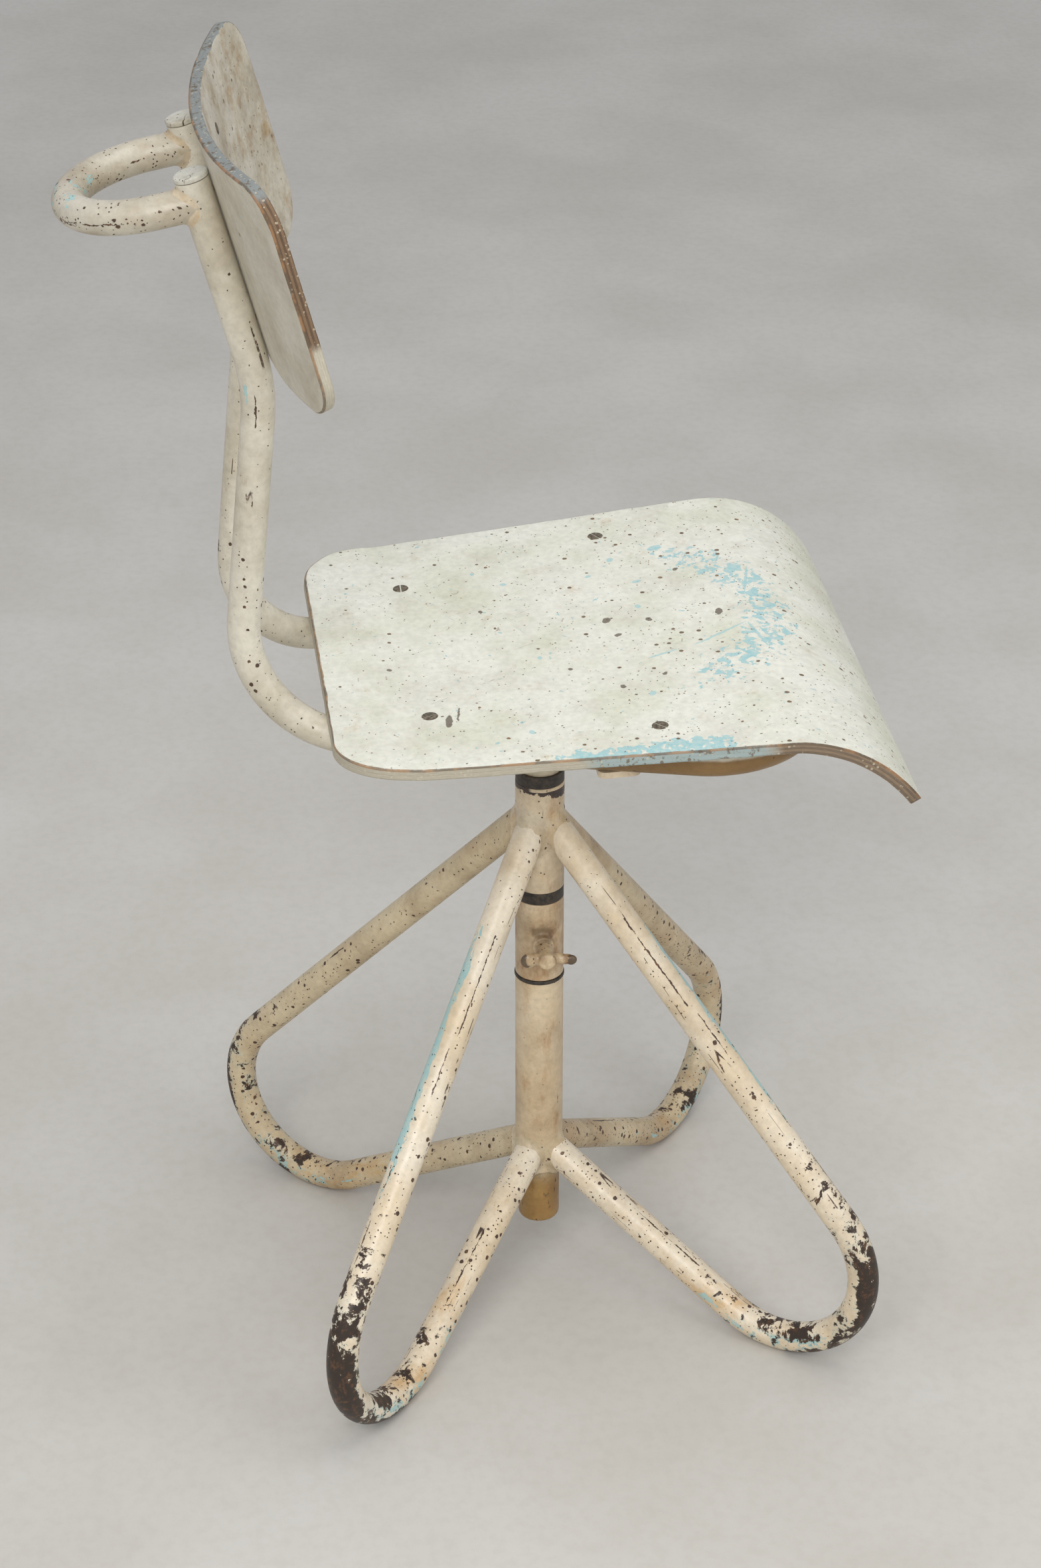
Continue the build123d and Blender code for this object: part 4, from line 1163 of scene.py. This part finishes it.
def panel_paint(name, paint, aged, fields):
    """Painted ply: the faces' paint, and the cut edge's layers where it is rubbed off."""
    material, n, shader = start_material(name)
    sheet, rim = n.field("sheet", vector=True), n.field("rim")
    x, y, depth = n.parts(sheet)
    amounts = fields(n, sheet, x, y, depth)
    painted = n.group(PAINT, {
        "Place": sheet, "Bare": amounts.get("bare", 0.0), "Undercoat": amounts["under"],
        "Specks": amounts["specks"], "Stain": amounts.get("stain", 0.1),
        "Scratches": 0.0, "Off Stroke": (1.0, 1.0, 1.0), "Grime": amounts.get("grime", 0.25),
        "Paint": paint, "Aged Paint": aged, "Undercoat Color": rgb(148, 196, 200),
        "Metal": rgb(104, 94, 76), "Rust": rgb(146, 116, 84), "Stain Color": rgb(206, 176, 128)})
    ply = n.group(PLY_EDGE, {"Sheet": sheet, "Fresh Wood": amounts["fresh"]})
    ragged = n.times(n.math("SUBTRACT", n.noise(sheet, 7 * MM, 6.0, 0.68), 0.5), 5 * MM)
    edge = n.step(n.plus(rim, ragged), 1.3 * MM, 0.7 * MM)
    face_side = n.step(n.math("ABSOLUTE", depth), 4.4 * MM, 3.9 * MM)
    edge = n.math("MINIMUM", n.most(edge, face_side), 1.0)
    colour, height = painted["Color"], painted["Height"]
    for scratch_turn, shade in ((28, rgb(120, 112, 98)), (-62, rgb(150, 186, 186))):
        lengthwise = n.turned(sheet, scratch_turn)
        lengthwise = n.add("ShaderNodeCombineXYZ", dict(zip(range(3), (
            n.parts(lengthwise)[0], n.parts(lengthwise)[2], n.parts(lengthwise)[1])))).outputs[0]
        lines = n.group(SCRATCHES, {"Place": lengthwise, "Amount": amounts.get("lines", 0.02)})["Mask"]
        colour = n.mix(n.times(lines, 0.6), colour, shade)
    for shade, strength, ovals in amounts["marks"]:
        colour = n.mix(n.times(marks(n, sheet, ovals), strength), colour, shade)
    cracks = n.step(n.noise(sheet, 5 * MM, 5.0, 0.7), 0.40, 0.46)
    bluish = n.mix(cracks, rgb(104, 96, 84), amounts["blue_paint"])
    rim_colour = n.mix(n.times(amounts["blue"], 0.85), ply["Color"], bluish)
    flecks = n.group(SPOTS, {"Place": sheet, "Amount": 0.4, "Spacing": 3 * MM, "Largest": 0.34})["Mask"]
    rim_colour = n.mix(n.times(flecks, 0.6), rim_colour, rgb(196, 186, 164))
    colour = n.mix(edge, colour, rim_colour)
    line = n.step(n.plus(rim, n.times(ragged, 0.6)), 2.2 * MM, 1.2 * MM)
    line = n.times(line, n.step(amounts["arris"], 2.3 * MM, 3.4 * MM))
    worn_wood = n.mix(n.step(n.noise(sheet, 17 * MM, 4.0), 0.42, 0.58), rgb(96, 82, 66), rgb(154, 114, 76))
    colour = n.mix(n.times(line, 0.75), colour, worn_wood)
    height = n.add("ShaderNodeMix", {0: edge, 2: height, 3: ply["Height"]}).outputs[0]
    rough = n.add("ShaderNodeMix", {0: edge, 2: painted["Roughness"], 3: 0.8}).outputs[0]
    finish_surface(n, shader, colour, rough, height, 0.2 * MM)
    return material


DARK_MARKS = [
    (13, 54, 5, 3.6, 20), (7, 86, 3.6, 2.8, 0), (-13, 59, 3.4, 2.6, 60), (7, 141, 6, 3, 10),
    (-97, 50, 3, 2.4, 0), (-84, 84, 3, 2, 30), (-60, 15, 2.6, 2, 0), (-120, -84, 10, 3, 8),
    (-111, -76, 11, 1, 8), (52, -40, 2.4, 1.6, 0), (-30, -120, 2.2, 1.8, 0), (88, 120, 3, 2, 40),
]
TURQUOISE_MARKS = [
    (117, 72, 4, 3, 20), (74, 87, 4, 2.6, 70), (31, 81, 3.4, 2.4, 0), (92, 51, 3, 2.2, 40),
    (-36, -5, 3, 2, 0), (95, -17, 3, 2.4, 80), (-151, -26, 3.4, 2.4, 0), (-113, 70, 4, 2.6, 30),
    (-52, 88, 13, 1.3, 69), (-30, 135, 28, 1.3, 57), (-36, 163, 22, 1.6, 169), (60, 171, 26, 1.2, 12),
    (130, 110, 7, 4, 60), (81, 166, 9, 4, 150), (37, 174, 8, 3, 5), (-74, 146, 7, 3.4, 35),
]


def seat_fields(n, sheet, x, y, depth):
    """Turquoise rubbed through in an arc at the front middle, and along the sitter's right."""
    from_arc = n.add("ShaderNodeVectorMath", {
        0: n.scaled(sheet, (1, 1, 0)), 1: (10 * MM, 60 * MM, 0)}, operation="DISTANCE").outputs["Value"]
    arc = n.step(n.math("ABSOLUTE", n.math("SUBTRACT", from_arc, 118 * MM)), 34 * MM, 6 * MM)
    arc = n.times(arc, n.step(y, 80 * MM, 130 * MM))
    near_edge = n.times(n.step(x, -180 * MM, -196 * MM), n.step(n.math("ABSOLUTE", n.math(
        "SUBTRACT", y, 50 * MM)), 80 * MM, 50 * MM))
    above = n.step(depth, 0.0, 1 * MM)
    under = n.plus(n.times(arc, 0.40), n.times(near_edge, 0.62))
    under = n.times(n.plus(under, 0.19), above)
    specks = n.plus(n.times(n.step(y, -120 * MM, 160 * MM), 0.08), 0.17)
    fresh = n.step(n.plus(y, n.times(n.noise(sheet, 30 * MM), 60 * MM)), 160 * MM, 180 * MM, 0.12, 0.85)
    blue = n.times(n.step(y, 0, 20 * MM), n.step(y, 150 * MM, 130 * MM))
    return dict(under=under, specks=specks, fresh=fresh, blue=blue, arris=depth, stain=0.06,
                blue_paint=rgb(150, 168, 168),
                grime=0.2, lines=0.05,
                marks=[(rgb(92, 78, 62), 0.85, DARK_MARKS), (rgb(160, 200, 202), 0.75, TURQUOISE_MARKS)])


seat_paint = panel_paint("seat_paint", rgb(228, 227, 215), rgb(214, 214, 194), seat_fields)
show(ply_sheet("seat", blank, seat_lay, 21), seat_paint, "seat", ["seat_shell"])

# the backrest: an arc across both posts; x is across, y is up the lean
BACK_R, BACK_HEIGHT, BACK_WIDTH, BACK_BOTTOM = 570 * MM, 173 * MM, 404 * MM, 16 * MM
BACK_START = TUBE_R + 0.4 * MM - POST_HALF**2 / (2 * BACK_R)


def back_lay(x, y, depth):
    turn = np.arcsin(np.asarray(x) / (BACK_R - PLY / 2))
    radius = BACK_R - PLY / 2 - depth
    across = radius * np.sin(turn)
    back = radius * np.cos(turn) - BACK_START - BACK_R
    foot = post_foot + lean * BACK_BOTTOM
    return foot + np.stack([across, 0 * across, 0 * across], -1) + back[..., None] * square_to_lean \
        + np.asarray(y)[..., None] * lean


def back_fields(n, sheet, x, y, depth):
    """Tanner and more speckled on the face the sitter leans on, greyer behind."""
    face = n.step(depth, 0.0, 1 * MM)
    specks = n.plus(n.times(face, 0.14), 0.05)
    fresh = n.step(n.plus(y, n.times(n.noise(sheet, 20 * MM), 16 * MM)), 58 * MM, 70 * MM)
    blue = n.step(y, BACK_HEIGHT - 12 * MM, BACK_HEIGHT - 5 * MM)
    ovals = [(-40, 96, 3, 2.2, 0), (62, 60, 2.4, 2, 0), (-120, 120, 2, 1.6, 0), (20, 30, 3, 1.4, 30)]
    return dict(under=0.08, specks=specks, fresh=fresh, blue=blue, arris=n.times(depth, -1.0),
                blue_paint=rgb(134, 142, 142),
                stain=n.times(face, 0.35), grime=n.plus(n.times(face, 0.25), 0.35),
                marks=[(rgb(66, 52, 40), 0.9, ovals), (rgb(150, 182, 182), 0.6, [(-70, 80, 84, 0.9, 14)])])


half = BACK_WIDTH / 2
BACK_CORNER_R = 32 * MM
back_loop = filleted([(half, 0), (half, BACK_HEIGHT), (-half, BACK_HEIGHT), (-half, 0)],
                     [BACK_CORNER_R] * 4, 2.4 * MM)
back_paint = panel_paint("back_paint", rgb(202, 196, 180), rgb(184, 175, 154), back_fields)
show(ply_sheet("backrest", back_loop, back_lay, 33), back_paint, "seat", ["backrest_panel"])


# --- bolts and screws ----------------------------------------------------------------------------
def build_fasteners():
    """A slotted flat head on a plain shank, at each point, pointing along its lean vector."""
    tree = bpy.data.node_groups.new("slotted_fasteners", "GeometryNodeTree")
    for label, kind in (("Places", "Geometry"), ("Head Radius", "Float"), ("Head Depth", "Float"),
                        ("Shank Radius", "Float"), ("Shank Length", "Float"), ("Finish", "Material")):
        tree.interface.new_socket(label, in_out="INPUT", socket_type="NodeSocket" + kind)
    tree.interface.new_socket("Fasteners", in_out="OUTPUT", socket_type="NodeSocketGeometry")
    n = Bench(tree)
    given = n.add("NodeGroupInput").outputs
    lift = lambda z: n.add("ShaderNodeCombineXYZ", {2: z}).outputs[0]
    moved = lambda what, z: n.add(
        "GeometryNodeTransform", {"Geometry": what, "Translation": lift(z)}).outputs[0]
    head = n.add("GeometryNodeMeshCone", {
        "Vertices": 36, "Radius Top": n.times(given["Head Radius"], 0.97),
        "Radius Bottom": given["Shank Radius"], "Depth": given["Head Depth"]}).outputs[0]
    head = moved(head, n.times(given["Head Depth"], -1.0))
    rim = n.add("GeometryNodeMeshCone", {
        "Vertices": 36, "Radius Top": n.times(given["Head Radius"], 0.9),
        "Radius Bottom": given["Head Radius"], "Depth": 0.5 * MM}).outputs[0]
    rim = moved(rim, -0.25 * MM)
    blade = n.add("ShaderNodeCombineXYZ", {
        0: n.times(given["Head Radius"], 3.0), 1: n.times(given["Head Radius"], 0.17),
        2: n.times(given["Head Depth"], 0.6)}).outputs[0]
    blade = n.add("GeometryNodeMeshCube", {"Size": blade}).outputs[0]
    blade = moved(blade, 0.3 * MM)
    cutter = n.add("GeometryNodeMeshBoolean", {"Mesh 2": blade}, operation="DIFFERENCE", solver="MANIFOLD")
    union = n.add("GeometryNodeMeshBoolean", operation="UNION", solver="MANIFOLD")
    n.feed(union.inputs["Mesh 2"], head)
    n.feed(union.inputs["Mesh 2"], rim)
    n.feed(cutter.inputs["Mesh 1"], union.outputs[0])
    shank = n.add("GeometryNodeMeshCylinder", {
        "Vertices": 28, "Radius": given["Shank Radius"], "Depth": given["Shank Length"]}).outputs[0]
    drop = n.plus(n.times(given["Shank Length"], 0.5), n.times(given["Head Depth"], 1.4))
    shank = moved(shank, n.times(drop, -1.0))
    joined = n.add("GeometryNodeJoinGeometry")
    n.feed(joined.inputs[0], cutter.outputs[0])
    n.feed(joined.inputs[0], shank)
    lean_at = n.add("GeometryNodeInputNamedAttribute", {"Name": "lean"}, data_type="FLOAT_VECTOR").outputs[0]
    spin_at = n.add("GeometryNodeInputNamedAttribute", {"Name": "spin"}, data_type="FLOAT").outputs[0]
    turn = n.add("FunctionNodeAlignRotationToVector", {"Vector": lean_at}, axis="Z").outputs[0]
    spin = n.add("FunctionNodeAxisAngleToRotation", {"Axis": (0, 0, 1), "Angle": spin_at}).outputs[0]
    turn = n.add("FunctionNodeRotateRotation", {"Rotation": turn, "Rotate By": spin},
                 rotation_space="LOCAL").outputs[0]
    placed = n.add("GeometryNodeInstanceOnPoints", {
        "Points": given["Places"], "Instance": joined.outputs[0], "Rotation": turn}).outputs[0]
    made = n.add("GeometryNodeRealizeInstances", {"Geometry": placed}).outputs[0]
    made = n.add("GeometryNodeSetMaterial", {"Geometry": made, "Material": given["Finish"]}).outputs[0]
    n.feed(n.add("NodeGroupOutput").inputs[0], made)
    return tree


FASTENERS = build_fasteners()


def fasteners(name, places, leans, sizes, finish, replaced):
    holes = bpy.data.meshes.new("places")
    holes.from_pydata([tuple(p) for p in places], [], [])
    tag(holes, "lean", np.array(leans))
    tag(holes, "spin", rng.uniform(0, pi, len(places)))
    made = bake_nodes(holes, FASTENERS, dict(sizes, Finish=finish))
    made.name = name
    face_out(made, 1e-6)
    return show(made, finish, "seat", replaced)


HEAD_PROUD = 0.25 * MM
bolt_places, bolt_leans = [], []
for forward in (REAR_BOLTS, FRONT_BOLTS):
    for side in (-1, 1):
        x, y = side * frame_half_width(forward), forward / cos(SEAT_SLOPE)
        bolt_places.append(seat_lay(x, y, PLY / 2 + HEAD_PROUD))
        bolt_leans.append((0, sin(SEAT_SLOPE), cos(SEAT_SLOPE)))
fasteners("bolts", bolt_places, bolt_leans, {
    "Head Radius": 6.2 * MM, "Head Depth": 2.8 * MM, "Shank Radius": 3 * MM, "Shank Length": 16 * MM},
    bolt_steel, ["seat_bolts"])

to_centre = sqrt(POST_HALF**2 + (BACK_START + BACK_R) ** 2)
screw_turn = np.arcsin(POST_HALF / to_centre)
face_reach = to_centre - BACK_R + PLY
screw_places, screw_leans = [], []
for along in (50 * MM, 151 * MM):
    for side in (-1, 1):
        out = np.array([-side * sin(screw_turn), -cos(screw_turn) * cos(TILT), cos(screw_turn) * sin(TILT)])
        screw_places.append(up_post(side, along) + out * (face_reach + HEAD_PROUD))
        screw_leans.append(out)
fasteners("panel_screws", screw_places, screw_leans, {
    "Head Radius": 4.6 * MM, "Head Depth": 2.3 * MM, "Shank Radius": 2.2 * MM, "Shank Length": 16 * MM},
    bolt_steel, ["backrest_screws"])

# --- CAD nodes that stay as they are -------------------------------------------------------------
KEPT = {
    black_fibre: ("lower_tube_bush", "lower_tube_top_bush"),
    hidden_enamel: ("mounting_plate", "front_seat_strap", "rear_seat_strap"),
    old_steel: ("clamp_shoe", "seat_bolt_washers", "seat_bolt_nuts", "seat_spacers"),
}
for finish, names in KEPT.items():
    for name in names:
        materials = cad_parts[name].data.materials
        for place in range(len(materials)):
            materials[place] = finish
        if not len(materials):
            materials.append(finish)

# --- floor, light and camera ---------------------------------------------------------------------
SPAN = 30.0
floor_mesh = bpy.data.meshes.new("floor")
floor_corners = [(-SPAN, -SPAN, 0), (SPAN, -SPAN, 0), (SPAN, SPAN, 0), (-SPAN, SPAN, 0)]
floor_mesh.from_pydata(floor_corners, [], [(0, 1, 2, 3)])
floor = bpy.data.objects.new("floor", floor_mesh)
bpy.context.scene.collection.objects.link(floor)
floor.location = (0, 0, -0.2 * MM)
material, n, shader = start_material("pale_floor")
place = n.add("ShaderNodeTexCoord").outputs["Object"]
cloud = n.noise(place, 0.35, 5.0, 0.6)
fine = n.noise(place, 0.012, 4.0, 0.6)
shade = n.mix(n.step(cloud, 0.3, 0.7), rgb(196, 192, 184), rgb(206, 203, 197))
shade = n.mix(n.times(n.step(fine, 0.4, 0.7), 0.12), shade, rgb(170, 164, 152))
finish_surface(n, shader, shade, n.step(fine, 0.3, 0.7, 0.7, 0.85), fine, 0.1 * MM)
floor_mesh.materials.append(material)


def area_light(name, place, target, size, power, colour=(1, 1, 1)):
    light = bpy.data.lights.new(name, "AREA")
    light.shape, light.size, light.energy, light.color = "DISK", size, power, colour
    lamp = bpy.data.objects.new(name, light)
    bpy.context.scene.collection.objects.link(lamp)
    lamp.location = place
    lamp.rotation_euler = (Vector(target) - Vector(place)).to_track_quat("-Z", "Y").to_euler()
    return lamp


area_light("key", (-2.9, 1.0, 2.7), (0, 0, 0.4), 2.2, 66, (1.0, 0.985, 0.96))
area_light("overhead", (-0.4, -0.6, 3.4), (0, 0, 0.4), 2.6, 28, (1.0, 0.99, 0.97))
area_light("front_fill", (-2.4, -2.2, 1.6), (0, 0, 0.5), 2.0, 18, (0.96, 0.98, 1.0))
world = bpy.data.worlds.new("studio")
world.use_nodes = True
world.node_tree.nodes["Background"].inputs["Color"].default_value = (0.86, 0.88, 0.92, 1)
world.node_tree.nodes["Background"].inputs["Strength"].default_value = 0.62
bpy.context.scene.world = world
bpy.context.scene.view_settings.view_transform = "Standard"

eye = bpy.data.cameras.new("eye")
eye.sensor_fit, eye.sensor_width, eye.lens = "HORIZONTAL", 36.0, 126.4
eye.clip_end = 60
camera = bpy.data.objects.new("eye", eye)
bpy.context.scene.collection.objects.link(camera)
camera.location = (-2.491, 0.338, 1.864)
camera.rotation_euler = (radians(60.86), 0, radians(-97.38))
bpy.context.scene.camera = camera
